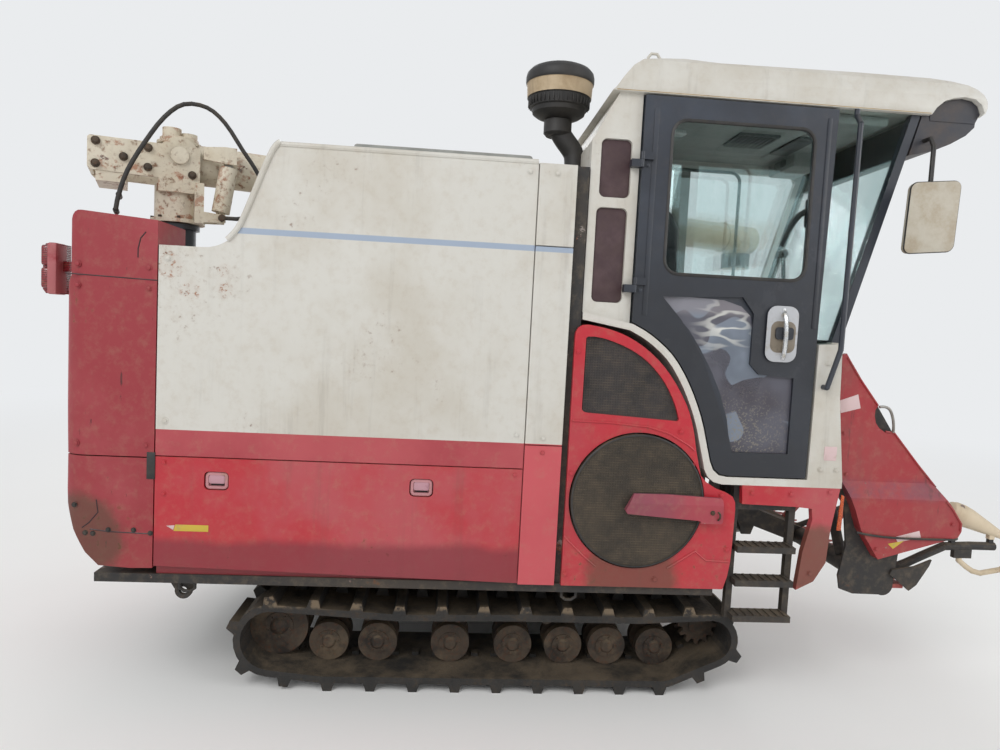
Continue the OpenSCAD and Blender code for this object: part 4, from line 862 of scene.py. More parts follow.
def crossings(outline, axis, level):
    """Where the line at a level of one axis crosses an outline, sorted along the other axis."""
    found = []
    for a, b in zip(outline, outline[1:] + outline[:1]):
        if (a[axis] - level) * (b[axis] - level) < 0:
            t = (level - a[axis]) / (b[axis] - a[axis])
            found.append(a[1 - axis] + t * (b[1 - axis] - a[1 - axis]))
    return sorted(found)


def join(pieces):
    only(*pieces)
    if len(pieces) > 1:
        bpy.ops.object.join()
    return bpy.context.object


def cut(piece, tool, operation="DIFFERENCE"):
    """Cuts a piece with a tool and removes the tool."""
    modify(piece, "BOOLEAN", object=tool, operation=operation, solver="EXACT")
    bpy.data.objects.remove(tool)
    return piece


def copied(piece, places):
    """Copies of a piece moved to several places, each with its own mesh, joined."""
    made = []
    for place in places:
        other = piece.copy()
        other.data = piece.data.copy()
        bpy.context.scene.collection.objects.link(other)
        other.location = place
        made.append(set_down(other))
    bpy.data.objects.remove(piece)
    return join(made)


def bolts(places, axis="Y", radius=None, height=None):
    """Hexagon bolt heads on washers, pointing to -y, or along another signed axis."""
    radius = radius or sizes().bolt_radius
    height = height or sizes().bolt_height
    out = {"Y": Vector((0, -1, 0)), "+Y": Vector((0, 1, 0)), "X": Vector((1, 0, 0)),
           "-X": Vector((-1, 0, 0)), "Z": Vector((0, 0, 1))}[axis]
    washer = drum((0, 0, 0), out * height * 0.3, radius * 1.45, 16)
    head = drum(out * height * 0.3, out * height, radius, 6, radius * 0.12)
    return copied(join([washer, head]), places)


def dress(piece, name, material, body="root", angle=35):
    """Names and paints a finished piece and lets it ride on its body."""
    only(piece)
    bpy.ops.object.shade_smooth_by_angle(angle=math.radians(angle))
    piece.name = name
    piece.data.name = name
    piece.data.materials.clear()
    piece.data.materials.append(finish(material))
    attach(piece, body)
    return piece


class HARVESTER_OT_paint_solids(bpy.types.Operator):
    """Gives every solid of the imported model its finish"""

    bl_idname = "harvester.paint_solids"
    bl_label = "Paint the solids"

    def execute(self, context):
        for material, names in NODE_FINISH.items():
            for name in names:
                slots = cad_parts[name].data.materials
                for i in range(len(slots)):
                    slots[i] = finish(material)
                if not slots:
                    slots.append(finish(material))
        return {"FINISHED"}


class HARVESTER_OT_panel_trim(bpy.types.Operator):
    """Adds the handles, label, bolts and pipe of the tank and the lower body"""

    bl_idname = "harvester.panel_trim"
    bl_label = "Tank and panel trim"

    def execute(self, context):
        low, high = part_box("lower_body")
        for i, x in enumerate((low.x + 0.235, high.x - 0.406)):
            z = high.z - 0.095
            pull = slab(oblong(x - 0.044, z - 0.034, x + 0.044, z + 0.034, 0.017), SIDE + 0.006,
                        SIDE + 0.027, edge=0.003)
            only(pull)
            bpy.ops.object.mode_set(mode="EDIT")
            bpy.ops.mesh.select_mode(type="FACE")
            bpy.ops.mesh.select_all(action="DESELECT")
            bpy.ops.object.mode_set(mode="OBJECT")
            front = min(pull.data.polygons, key=lambda p: (round(p.center.y, 4), -p.area))
            front.select = True
            bpy.ops.object.mode_set(mode="EDIT")
            bpy.ops.mesh.inset(thickness=0.009)
            bpy.ops.mesh.extrude_region_move(TRANSFORM_OT_translate={"value": (0, 0.015, 0)})
            bpy.ops.object.mode_set(mode="OBJECT")
            dress(pull, f"panel_handle_{i}", "pink label")
            lever = slab(oblong(x - 0.031, z - 0.012, x + 0.031, z + 0.022, 0.008), SIDE + 0.0065,
                         SIDE + 0.02, edge=0.002)
            dress(lever, f"panel_lever_{i}", "lever pink")
            # A black strip on the pocket's floor just under the lever: painted shade in the finger
            # gap.
            slot = slab(oblong(x - 0.026, z - 0.021, x + 0.026, z - 0.0145, 0.003, 2),
                        SIDE + 0.0195, SIDE + 0.0205, edge=0.0004)
            dress(slot, f"panel_slot_shade_{i}", "black plastic")
        label = [(-1.65, 0.713), (-1.516, 0.713), (-1.516, 0.739), (-1.643, 0.739)]
        dress(sticker(label, SIDE), "blank_sticker", "yellow label")
        tip = [(-1.678, 0.733), (-1.651, 0.717), (-1.646, 0.736)]
        dress(sticker(tip, SIDE), "blank_sticker_tip", "pale label")
        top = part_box("grain_tank")[1].z
        run = [(-1.28, 2.247), (-1.3, 2.238), (-1.328, 2.171), (-1.357, 2.095), (-1.381, 2.03),
               (-1.41, 1.954), (-1.426, 1.918), (-1.446, 1.888), (-1.47, 1.864)]
        lip = tube(on_side(run, SIDE - 0.002), 0.011, curved=True)
        edge = tube([(x, SIDE + 0.006, top - 0.004) for x in (-1.28, -0.28)], 0.012)
        dress(join([lip, edge]), "tank_edge_pipe", "cream")
        lid = block((-1.02, -0.8, top - 0.002), (-0.29, -0.38, top + 0.05), 0.012)
        dress(lid, "tank_lid", "lining")
        places = [(-1.69, 1.78), (-1.69, 1.15), (-0.31, 2.2), (-0.31, 1.15), (-0.2, 2.2),
                  (-0.2, 1.14)]
        dress(bolts(on_side(places)), "panel_bolts", "cream")
        places = [(-1.69, 0.86), (-1.69, 0.985), (-0.31, 0.985), (-0.2, 1.08)]
        dress(bolts(on_side(places), radius=SMALL_BOLT), "lower_panel_bolts", "lower red")
        bend = [(-0.03, 0.496), (-0.03, 0.465), (-0.012, 0.452), (0.012, 0.452), (0.03, 0.465),
                (0.03, 0.496)]
        hooks = [tube(on_side([(x + u, z) for u, z in bend], -0.87), 0.007)
                 for x in (-1.61, -0.05)]
        dress(join(hooks), "tie_hooks", "frame")
        return {"FINISHED"}


class HARVESTER_OT_rear_trim(bpy.types.Operator):
    """Adds the folds, latches and bolts of the rear covers and the tail lamps' lenses"""

    bl_idname = "harvester.rear_trim"
    bl_label = "Rear covers and lamps"

    def execute(self, context):
        low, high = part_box("rear_cover_upper")
        # Dark red lines along the covers' folds and seams: partly the seams' real gaps, partly
        # painted shade in the creases of the folds.
        seams = ([(-2.068, 1.702), (-1.729, 1.693)],
                 [(-1.774, 1.875), (-1.793, 1.85), (-1.802, 1.81), (-1.802, 1.776)],
                 [(-1.968, 0.711), (-1.901, 0.703), (-1.731, 0.698)],
                 [(-1.945, 0.829), (-1.938, 0.779), (-1.971, 0.737), (-1.997, 0.716)])
        seams = [tube(on_side(line, SIDE + 0.0008), 0.0026, 6) for line in seams]
        dress(join(seams), "rear_cover_seams", "seam and fold shade")
        latch = block((-1.756, SIDE - 0.004, 0.918), (-1.724, SIDE + 0.001, 1.024), 0.0015)
        dress(latch, "rear_cover_latch", "black plastic")
        places = [(x, SIDE, z) for x in (low.x + 0.075, high.x - 0.03) for z in (1.05, 1.66, 1.74)]
        dress(bolts(places, radius=0.008), "rear_cover_bolts", "rear red")
        places = [(-2.027, 0.806), (-1.985, 0.696), (-1.956, 0.694), (-1.898, 0.71),
                  (-1.802, 0.712), (-1.738, 0.701)]
        dress(bolts(on_side(places), radius=SMALL_BOLT), "rear_cover_rivets", "frame")
        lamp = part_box("tail_lamps")
        lenses = []
        for y0, y1, z0 in ((-0.852, -0.788, lamp[1].z - 0.187), (0.648, 0.712, 1.071)):
            for k in (0, 1):
                z = z0 + 0.012 + k * 0.088
                lenses.append(slab(oblong(y0, z, y1, z + 0.08, 0.012), lamp[0].x + 0.004,
                                   lamp[0].x + 0.034, "X", edge=0.004))
        dress(join(lenses), "tail_lamp_lenses", "lamp red")
        shells = []
        for y0, y1, z0, z1 in ((-0.8605, -0.7795, 1.62, 1.82), (0.6395, 0.7205, 1.06, 1.26)):
            shells.append(block((lamp[0].x + 0.03, y0 - 0.001, z0),
                                (lamp[0].x + 0.066, y1 + 0.001, z1), 0.008))
        dress(join(shells), "tail_lamp_shells", "rear red")
        return {"FINISHED"}


class HARVESTER_OT_engine_side(bpy.types.Operator):
    """Adds the engine cover's fine mesh, folds and bolts and the rotary screen's ring and wires"""

    bl_idname = "harvester.engine_side"
    bl_label = "Engine cover and screen"

    def execute(self, context):
        centre, radius = Vector((0.204, 0, 0.895)), 0.278
        face = SIDE - 0.008
        ring = turned([(radius - 0.007, -0.004), (radius, -0.004), (radius, 0.003),
                       (radius - 0.003, 0.005), (radius - 0.007, 0.005)],
                      (centre.x, face, centre.z), "Y", 72)
        dress(ring, "screen_ring", "black plastic", "screen")
        wires = []
        pitch = 0.0105
        for k in range(-25, 26):
            reach = math.sqrt(max(0.0, (radius - 0.012) ** 2 - (k * pitch) ** 2))
            if reach > 0.03:
                x, z = centre.x + k * pitch, centre.z + k * pitch
                wires.append(drum((x, face - 0.0006, centre.z - reach),
                                  (x, face - 0.0006, centre.z + reach), 0.0011, 4))
                wires.append(drum((centre.x - reach, face - 0.0014, z),
                                  (centre.x + reach, face - 0.0014, z), 0.0011, 4))
        dress(join(wires), "screen_wires", "screen", "screen")
        mesh_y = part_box("engine_mesh")[0].y
        window = [(-0.048, 1.556), (-0.012, 1.563), (0.044, 1.553), (0.134, 1.52), (0.215, 1.469),
                  (0.288, 1.39), (0.336, 1.304), (0.357, 1.242), (-0.048, 1.252)]
        grid = []
        for axis, last in ((0, 0.352), (1, 1.556)):
            level = (-0.043, 1.262)[axis]
            while level < last:
                ends = crossings(window, axis, level)
                if len(ends) > 1 and ends[1] - ends[0] > 0.02:
                    pair = [(level, e) if axis == 0 else (e, level) for e in ends[:2]]
                    grid.append(drum(*[(u, mesh_y - 0.001, v) for u, v in pair], 0.0014, 4))
                level += 0.0105
        dress(join(grid), "engine_mesh_wires", "mesh")
        places = [(-0.078, 0.58), (-0.078, 1.0), (-0.078, 1.5), (0.425, 1.05), (0.56, 0.93),
                  (0.6, 0.7), (0.3, 0.565), (0.37, 1.19)]
        dress(bolts(on_side(places)), "engine_cover_bolts", "engine red")
        fold = [(-0.085, 1.217), (0.065, 1.215), (0.233, 1.204), (0.319, 1.181), (0.407, 1.134),
                (0.432, 1.113)]
        left = [(-0.092, 0.739), (-0.068, 0.714), (-0.008, 0.658), (0.046, 0.614)]
        right = [(0.351, 0.615), (0.414, 0.656), (0.464, 0.69), (0.512, 0.652), (0.612, 0.649)]
        folds = [tube(on_side(line, SIDE - 0.001), 0.0045, 6) for line in (fold, left, right)]
        dress(join(folds), "engine_cover_folds", "engine red")
        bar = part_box("suction_bar")[0].y
        hook = tube([(0.535, bar - 0.002, 0.868), (0.542, bar - 0.014, 0.868),
                     (0.542, bar - 0.014, 0.842), (0.535, bar - 0.002, 0.836)], 0.004, 8, True)
        nut = bolts([(0.512, bar, 0.865)], radius=SMALL_BOLT)
        dress(join([nut, hook]), "suction_bar_bolts", "rusty iron")
        return {"FINISHED"}


class HARVESTER_OT_precleaner_trim(bpy.types.Operator):
    """Replaces the precleaner with its stepped bowl and its bent pipe"""

    bl_idname = "harvester.precleaner_trim"
    bl_label = "Precleaner"

    def execute(self, context):
        low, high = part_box("precleaner")
        x, y = (low.x + high.x) / 2, (low.y + high.y) / 2
        r = (high.x - low.x) / 2
        foot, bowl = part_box("front_panels")[1].z - 0.003, high.z - 0.222
        pipe = tube([(-0.083, y, foot), (-0.083, y, foot + 0.1), (-0.09, y, foot + 0.13),
                     (-0.12, y, foot + 0.165), (-0.15, y, foot + 0.2), (x, y, foot + 0.235)],
                    0.045, 24, True)
        neck = turned([(0.0, 0.0), (0.05, 0.0), (0.061, 0.012), (0.061, 0.066), (0.0, 0.066)],
                      (x, y, foot + 0.194))
        steps = [(0.052, 0.006), (0.035, 0.018), (0.031, 0.036), (0.023, 0.04), (0.015, 0.078),
                 (0.009, 0.082), (0.006, 0.138), (0.002, 0.142), (0.0, 0.151), (0.0, 0.169),
                 (0.004, 0.185), (0.017, 0.2), (0.036, 0.209)]
        side = [(r - u, v) for u, v in steps]
        body = turned([(0.0, -0.008), (0.062, -0.008)] + side + [(0.0, 0.2215)],
                      (x, y, bowl), steps=72)
        form = dress(join([pipe, neck, body]), "precleaner_form", "cleaner")
        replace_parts(form, "precleaner")
        ribs, count = [], 40
        for k in range(count):
            rib = block((r - 0.024, -0.0015, 0.044), (r - 0.014, 0.0015, 0.076), 0.0005)
            rib.rotation_euler = (0, 0, math.tau * k / count)
            rib.location = (x, y, bowl)
            ribs.append(set_down(rib))
        dress(join(ribs), "precleaner_ribs", "black plastic")
        return {"FINISHED"}


class HARVESTER_OT_door_trim(bpy.types.Operator):
    """Adds the door's seals, lock, film and hinge bolts"""

    bl_idname = "harvester.door_trim"
    bl_label = "Cab door"

    def execute(self, context):
        y = DOOR_FACE
        upper = oblong(0.258, 1.833, 0.855, 2.45, 0.06)
        seal = tube(on_side(upper + upper[:1], y + 0.004), sizes().seal_radius, 8)
        lower = [(0.262, 1.712), (0.256, 1.735), (0.278, 1.749), (0.523, 1.74), (0.6, 1.718),
                 (0.642, 1.68), (0.655, 1.63), (0.657, 1.5), (0.68, 1.475), (0.736, 1.47),
                 (0.836, 1.46), (0.845, 1.45), (0.845, 1.075), (0.835, 1.065), (0.72, 1.062),
                 (0.64, 1.085), (0.606, 1.11), (0.585, 1.18), (0.573, 1.245), (0.538, 1.35),
                 (0.489, 1.45), (0.435, 1.54), (0.385, 1.61), (0.33, 1.665)]
        centre = (sum(u for u, v in lower) / len(lower), sum(v for u, v in lower) / len(lower))
        dress(seal, "door_seals", "black plastic", "door")
        film = slab([(centre[0] + (u - centre[0]) * 1.01, centre[1] + (v - centre[1]) * 1.01)
                     for u, v in lower], y + 0.0142, y + 0.0149)
        dress(film, "door_film", "film", "door")
        gap = [(0.345, 1.65), (0.262, 1.74), (0.6, 1.755), (0.65, 1.69), (0.65, 1.48),
               (0.69, 1.44), (0.841, 1.43), (0.841, 1.11), (0.6, 1.11), (0.545, 1.26),
               (0.45, 1.49)]
        border = cut(slab(gap, y + 0.0135, y + 0.015), slab(lower, y + 0.01, y + 0.02))
        dress(border, "door_pane_border", "black", "door")
        plate = slab(oblong(0.704, 1.496, 0.838, 1.728, 0.04), y - 0.012, y - 0.0075, edge=0.002)
        dress(plate, "door_lock_plate", "lock plate", "door")
        recess = slab(oblong(0.722, 1.535, 0.828, 1.665, 0.03), y - 0.0126, y - 0.0118,
                      edge=0.0003)
        dress(recess, "door_lock_recess", "lock recess", "door")
        grip = tube([(0.774, y - 0.01, 1.7), (0.775, y - 0.03, 1.69), (0.777, y - 0.034, 1.62),
                     (0.78, y - 0.03, 1.54), (0.781, y - 0.01, 1.512)], 0.0095, curved=True)
        screw = drum((0.771, y - 0.0115, 1.712), (0.771, y - 0.0135, 1.712), 0.007, 20, 0.0008)
        dress(join([grip, screw]), "door_lock", "chrome", "door")
        hinge = bolts([(0.165, y, z) for z in (1.76, 1.79, 2.26, 2.29)], radius=SMALL_BOLT)
        dress(hinge, "door_bolts", "black", "door")
        strips = [slab(oblong(*corners, 0.006), y - 0.003, y, edge=0.001)
                  for corners in ((0.18, 1.66, 0.2, 2.49), (0.9, 1.64, 0.918, 2.5))]
        dress(join(strips), "door_folds", "peeled black", "door")
        return {"FINISHED"}


class HARVESTER_OT_cab_inside(bpy.types.Operator):
    """Adds the cab's lining, vents, floor mat, lever boots, instruments and grab handle"""

    bl_idname = "harvester.cab_inside"
    bl_label = "Cab fittings"

    def execute(self, context):
        roof = CEILING
        lining = block((0.075, -0.838, roof - 0.045), (1.2, -0.042, roof - 0.001), 0.015)
        dress(lining, "cab_headliner", "lining")
        console = block((1.03, -0.36, 2.435), (1.18, -0.08, roof - 0.03), 0.012)
        dress(console, "ceiling_console", "lining")
        vents = [slab(oblong(x0, y0, x1, y1, 0.012), roof - 0.056, roof - 0.044, "Z", 0.003)
                 for x0, y0, x1, y1 in ((0.65, -0.62, 0.84, -0.41), (0.92, -0.62, 1.01, -0.32))]
        vents += [block((0.665 + k * 0.022, -0.61, roof - 0.059),
                        (0.672 + k * 0.022, -0.42, roof - 0.055), 0.001) for k in range(8)]
        vents.append(slab(oblong(-0.28, 2.455, -0.16, 2.49, 0.016), 1.0245, 1.031, "X", 0.001))
        dress(join(vents), "ceiling_vents", "black plastic")
        lamp = slab(oblong(0.28, -0.6, 0.42, -0.5, 0.02), roof - 0.062, roof - 0.044, "Z", 0.006)
        dress(lamp, "ceiling_lamp", "lamp clear")
        back = slab(oblong(-0.83, 1.66, -0.045, 2.32, 0.06), -0.0325, -0.02, "X", 0.004)
        dress(back, "rear_lining", "lining")
        mat = block((0.66, -0.836, 1.0045), (1.0, -0.06, 1.012), 0.003)
        ribs = [block((0.68 + k * 0.022, -0.82, 1.011), (0.69 + k * 0.022, -0.3, 1.0165), 0.0015)
                for k in range(7)]
        dress(join([mat] + ribs), "floor_mat", "hose")
        levers = ((0.56, -0.21), (0.64, -0.16), (0.72, -0.22))
        boot = [(0.007, 0.09), (0.014, 0.088), (0.019, 0.07), (0.015, 0.066), (0.026, 0.046),
                (0.021, 0.042), (0.036, 0.02), (0.03, 0.016), (0.048, 0.0), (0.007, 0.0)]
        knob = [(0.0, 0.052), (0.014, 0.05), (0.026, 0.036), (0.0275, 0.02), (0.02, 0.0),
                (0.011, -0.028), (0.0, -0.028)]
        for name, material, profile, z in (("lever_boots", "hose", boot, 1.6),
                                           ("lever_knobs", "black plastic", knob, 1.83)):
            dress(join([turned(profile, (x, y, z), steps=24) for x, y in levers]), name, material)
        panel = slab(oblong(-0.69, 1.765, -0.43, 1.85, 0.012), 0.852, 0.861, "X", 0.002)
        dials = [turned([(0.0, 0.0), (0.03, 0.0), (0.034, -0.004), (0.036, 0.004), (0.0, 0.004)],
                        (0, 0, 0), steps=32) for _ in range(2)]
        for dial, y in zip(dials, (-0.62, -0.54)):
            dial.rotation_euler = (0, math.radians(90), 0)
            dial.location = (0.8525, y, 1.807)
            set_down(dial)
        dress(join([panel] + dials), "instrument_panel", "black plastic")
        screen = slab(oblong(-0.5, 1.775, -0.44, 1.84, 0.006), 0.849, 0.853, "X", 0.001)
        dress(screen, "instrument_screen", "lamp clear")
        grab = tube([(0.868, -0.848, 2.13), (0.84, -0.825, 2.12), (0.81, -0.815, 2.07),
                     (0.788, -0.812, 1.985)], 0.013, 10, True)
        mount = block((0.858, -0.868, 2.06), (0.886, -0.842, 2.18), 0.008)
        grab = join([grab, mount])
        dress(grab, "front_grab_handle", "black plastic")
        strip = tube([(0.1, -0.815, 2.3 - 0.012 * k + (0.006 if k % 2 else 0)) for k in range(20)],
                     0.006, 8, True)
        dress(strip, "blank_pillar_strip", "pale label")
        rim = oblong(0.13, 1.76, 0.9, 2.46, 0.05)
        seal = tube(on_side(rim + rim[:1], -0.037), 0.009, 8)
        dress(seal, "far_window_seal", "black plastic")
        return {"FINISHED"}


def cushion_form(low, high, crown):
    """A cushion's body: a block with round edges, divided finely enough to swell."""
    piece = round_edges(plain_block(low, high), crown, 4)
    with editing(piece):
        bpy.ops.mesh.subdivide(number_cuts=6)
    return piece


def swell(piece, limit, pressure=4.0):
    """Inflates a cushion with cloth pressure and caps how far each point moves."""
    modify(piece, "REMESH", mode="VOXEL", voxel_size=0.006)
    start = [v.co.copy() for v in piece.data.vertices]
    only(piece)
    cloth = piece.modifiers.new("Cloth", "CLOTH")
    cloth.settings.effector_weights.gravity = 0
    cloth.settings.use_pressure = True
    cloth.settings.uniform_pressure_force = pressure
    cloth.settings.quality = 4
    cloth.point_cache.frame_start = 1
    cloth.point_cache.frame_end = CLOTH_FRAMES
    for step in range(1, CLOTH_FRAMES + 1):
        bpy.context.scene.frame_set(step)
    bpy.ops.object.modifier_apply(modifier=cloth.name)
    bpy.context.scene.frame_set(1)
    for vertex, old in zip(piece.data.vertices, start):
        move = vertex.co - old
        if move.length > limit:
            vertex.co = old + move * (limit / move.length)
    return piece


def sewn(piece, channels, axis, depth, width=0.006):
    """Presses sewn channels into a cushion: lines at given places along an axis."""
    index = "XYZ".index(axis)
    centre = sum((v.co for v in piece.data.vertices), Vector()) / len(piece.data.vertices)
    for vertex in piece.data.vertices:
        for place in channels:
            gap = abs(vertex.co[index] - place)
            if gap < width * 3:
                pull = depth * math.exp(-(gap / width) ** 2)
                inward = centre - vertex.co
                inward[index] = 0
                vertex.co += inward.normalized() * pull
    return piece


class HARVESTER_OT_seat(bpy.types.Operator):
    """Replaces the seat's plain solids with a sewn cushion and backrest"""

    bl_idname = "harvester.seat"
    bl_label = "Driver's seat"

    def execute(self, context):
        low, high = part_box("seat_cushion")
        inset = 0.012
        cushion = cushion_form((low.x + inset, low.y + inset, low.z + 0.004),
                               (high.x - inset, high.y - inset, high.z - inset), 0.03)
        swell(cushion, 0.01)
        sewn(cushion, (low.x + 0.16, low.x + 0.3), "X", 0.007)
        modify(cushion, "SUBSURF", levels=1, render_levels=1)
        dress(cushion, "seat_cushion_cloth", "cloth", angle=60)
        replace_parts(cushion, "seat_cushion")
        low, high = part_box("seat_back")
        outline = [(0.318, 1.59), (0.41, 1.592), (0.375, 2.05), (0.338, 2.13), (0.298, 2.13),
                   (0.276, 2.05), (0.297, 1.7)]
        back = slab(outline, low.y + inset, high.y - inset)
        round_edges(back, 0.02, 3)
        swell(back, 0.009)
        sewn(back, (1.72, 1.84, 1.96), "Z", 0.006)
        modify(back, "SUBSURF", levels=1, render_levels=1)
        dress(back, "seat_back_cloth", "cloth", angle=60)
        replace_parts(back, "seat_back")
        return {"FINISHED"}


class HARVESTER_OT_cab_shell(bpy.types.Operator):
    """Replaces the roof and the cab walls with their finer forms and adds the dark visor"""

    bl_idname = "harvester.cab_shell"
    bl_label = "Cab roof, visor and walls"

    def execute(self, context):
        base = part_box("cab_roof")[0].z

        def raised(outline):
            return [(u, base + v) for u, v in outline]

        rise = [(0.004, 0), (0.018, 0.014), (0.05, 0.061), (0.084, 0.103), (0.123, 0.131),
                (0.202, 0.144), (0.296, 0.153), (0.443, 0.143), (0.761, 0.151), (1.09, 0.16),
                (1.337, 0.159), (1.43, 0.148), (1.489, 0.13), (1.53, 0.114), (1.556, 0.094),
                (1.572, 0.066), (1.574, 0.04), (1.566, 0.016), (1.545, 0)]
        half = [(0.4575, 0), (0.4625, 0.02), (0.4605, 0.08), (0.4505, 0.13), (0.4195, 0.158),
                (0.3375, 0.166), (0.2575, 0.17)]
        middle = -0.445
        section = [(middle - w, base + z) for w, z in half]
        section += [(middle + w, base + z) for w, z in reversed(half)]
        shell = cut(slab(raised(rise), -0.96, 0.06),
                    slab(section, -0.02, 1.6, "X"), "INTERSECT")
        arch = [(1.339, 0), (1.354, 0.027), (1.39, 0.058), (1.432, 0.072), (1.475, 0.078),
                (1.519, 0.072), (1.548, 0.052), (1.562, 0.02)]
        notch = raised(arch + [(1.545, -0.001), (1.339, -0.001)])
        for y0 in (-0.945, -0.022):
            cut(shell, slab(notch, y0, y0 + 0.077))
        outward(shell)
        round_edges(shell, 0.005)
        bend = [(0.148, 0.08), (0.148, 0.15), (0.16, 0.166), (0.184, 0.166), (0.196, 0.15),
                (0.196, 0.08)]
        loop = tube(on_side(raised(bend), -0.86), 0.006)
        shell = dress(join([shell, loop]), "roof_shell", "cream")
        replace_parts(shell, "cab_roof")
        lining = [(1.314, 0.012), (1.268, -0.166), (1.303, -0.159), (1.38, -0.137),
                  (1.444, -0.108), (1.507, -0.07), (1.542, -0.034), (1.546, 0.012)]
        visor = [slab(raised(lining), -0.8815, -0.0085)]
        ear = [(1.452 + (u - 1.452) * 0.97, base + v - 0.002) for u, v in arch]
        ear += [(1.54, base - 0.02), (1.345, base - 0.02)]
        visor += [slab(ear, y0, y0 + 0.015) for y0 in (-0.884, -0.021)]
        dress(join(visor), "roof_visor", "visor")
        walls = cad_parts["cab_walls"].copy()
        walls.data = walls.data.copy()
        bpy.context.scene.collection.objects.link(walls)
        walls.parent = None
        outward(walls)
        front = [(0.87, 1.76), (1.02, 1.76), (1.205, 2.43), (1.19, 2.46), (0.87, 2.46)]
        cut(walls, slab(front, -0.05, 0.01))
        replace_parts(dress(walls, "cab_wall_shell", "cream"), "cab_walls")
        pane = slab([(0.895, 1.75), (1.03, 1.75), (1.214, 2.43), (1.2, 2.47), (0.895, 2.47)],
                    -0.0345, -0.0285)
        dress(pane, "far_front_pane", "glass")
        post = block((0.545, -0.0345, 1.755), (0.632, -0.0235, 2.465), 0.002)
        dress(post, "far_window_post", "lining")
        return {"FINISHED"}


class HARVESTER_OT_cab_outside(bpy.types.Operator):
    """Adds the roof's lip, the mirror's back and arm, the vents, the wiper and the glass seals"""

    bl_idname = "harvester.cab_outside"
    bl_label = "Cab outside"

    def execute(self, context):
        lips = [tube([(0.02, y, 2.5505), (1.335, y, 2.5505)], 0.0045, 6) for y in (-0.9, 0.008)]
        dress(join(lips), "roof_lip", "tan")
        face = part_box("mirror")[0].y

        def leant(outline):
            return [(1.218 + u + 0.035 * v, 1.962 + v + 0.1 * u) for u, v in outline]

        plate = slab(leant(oblong(0, 0, 0.211, 0.285, 0.028)), face, face + 0.025, edge=0.004)
        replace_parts(dress(plate, "mirror_back", "mirror back"), "mirror")
        rim = leant(oblong(0.003, 0.003, 0.208, 0.282, 0.026))
        rim = tube(on_side(rim + rim[:1], face + 0.006), 0.0055, 8)
        clamp = block((1.312, face + 0.023, 2.16), (1.348, face + 0.046, 2.215), 0.004)
        stem = tube([(1.33, -0.88, 2.443), (1.33, -0.92, 2.443), (1.33, -0.944, 2.405),
                     (1.33, -0.944, 2.19)], 0.0095)
        dress(join([rim, clamp, stem]), "mirror_rim", "black plastic")
        plates = [slab(oblong(x0, z0, x1, z1, 0.022), -0.8705, -0.8675, edge=0.0008)
                  for x0, x1, z0, z1 in ((-0.022, 0.1, 2.13, 2.36), (-0.028, 0.096, 1.706, 2.086))]
        dress(join(plates), "rear_pillar_vents", "vent brown")
        edges = [tube([(1.031, y, WINDSCREEN_FOOT), (1.282, y, 2.54)], 0.007, 8)
                 for y in (-0.85, -0.04)]
        edges.append(tube([(1.031, -0.84, 1.59), (1.031, -0.045, 1.59)], 0.007, 8))
        dress(join(edges), "windshield_seals", "black plastic")
        motor = drum((1.04, -0.45, 1.56), (1.062, -0.45, 1.56), 0.022, 24, 0.003)
        arm = tube([(1.064, -0.45, 1.56), (1.075, -0.45, 1.6), (1.17, -0.33, 1.95),
                    (1.2, -0.3, 2.06)], 0.006, 8)
        blade = tube([(1.138, -0.52, 1.92), (1.185, -0.31, 2.1), (1.225, -0.12, 2.26)], 0.0055, 6)
        dress(join([motor, arm, blade]), "wiper", "black plastic")
        places = [(0.99, 1.05), (1.06, 1.05), (0.985, 1.5), (1.02, 1.5)]
        dress(bolts(on_side(places, DOOR_FACE)), "front_post_bolts", "cream")
        label = sticker(oblong(1.0, 1.09, 1.055, 1.15, 0.004, 2), DOOR_FACE)
        dress(label, "blank_post_label", "pale label")
        return {"FINISHED"}


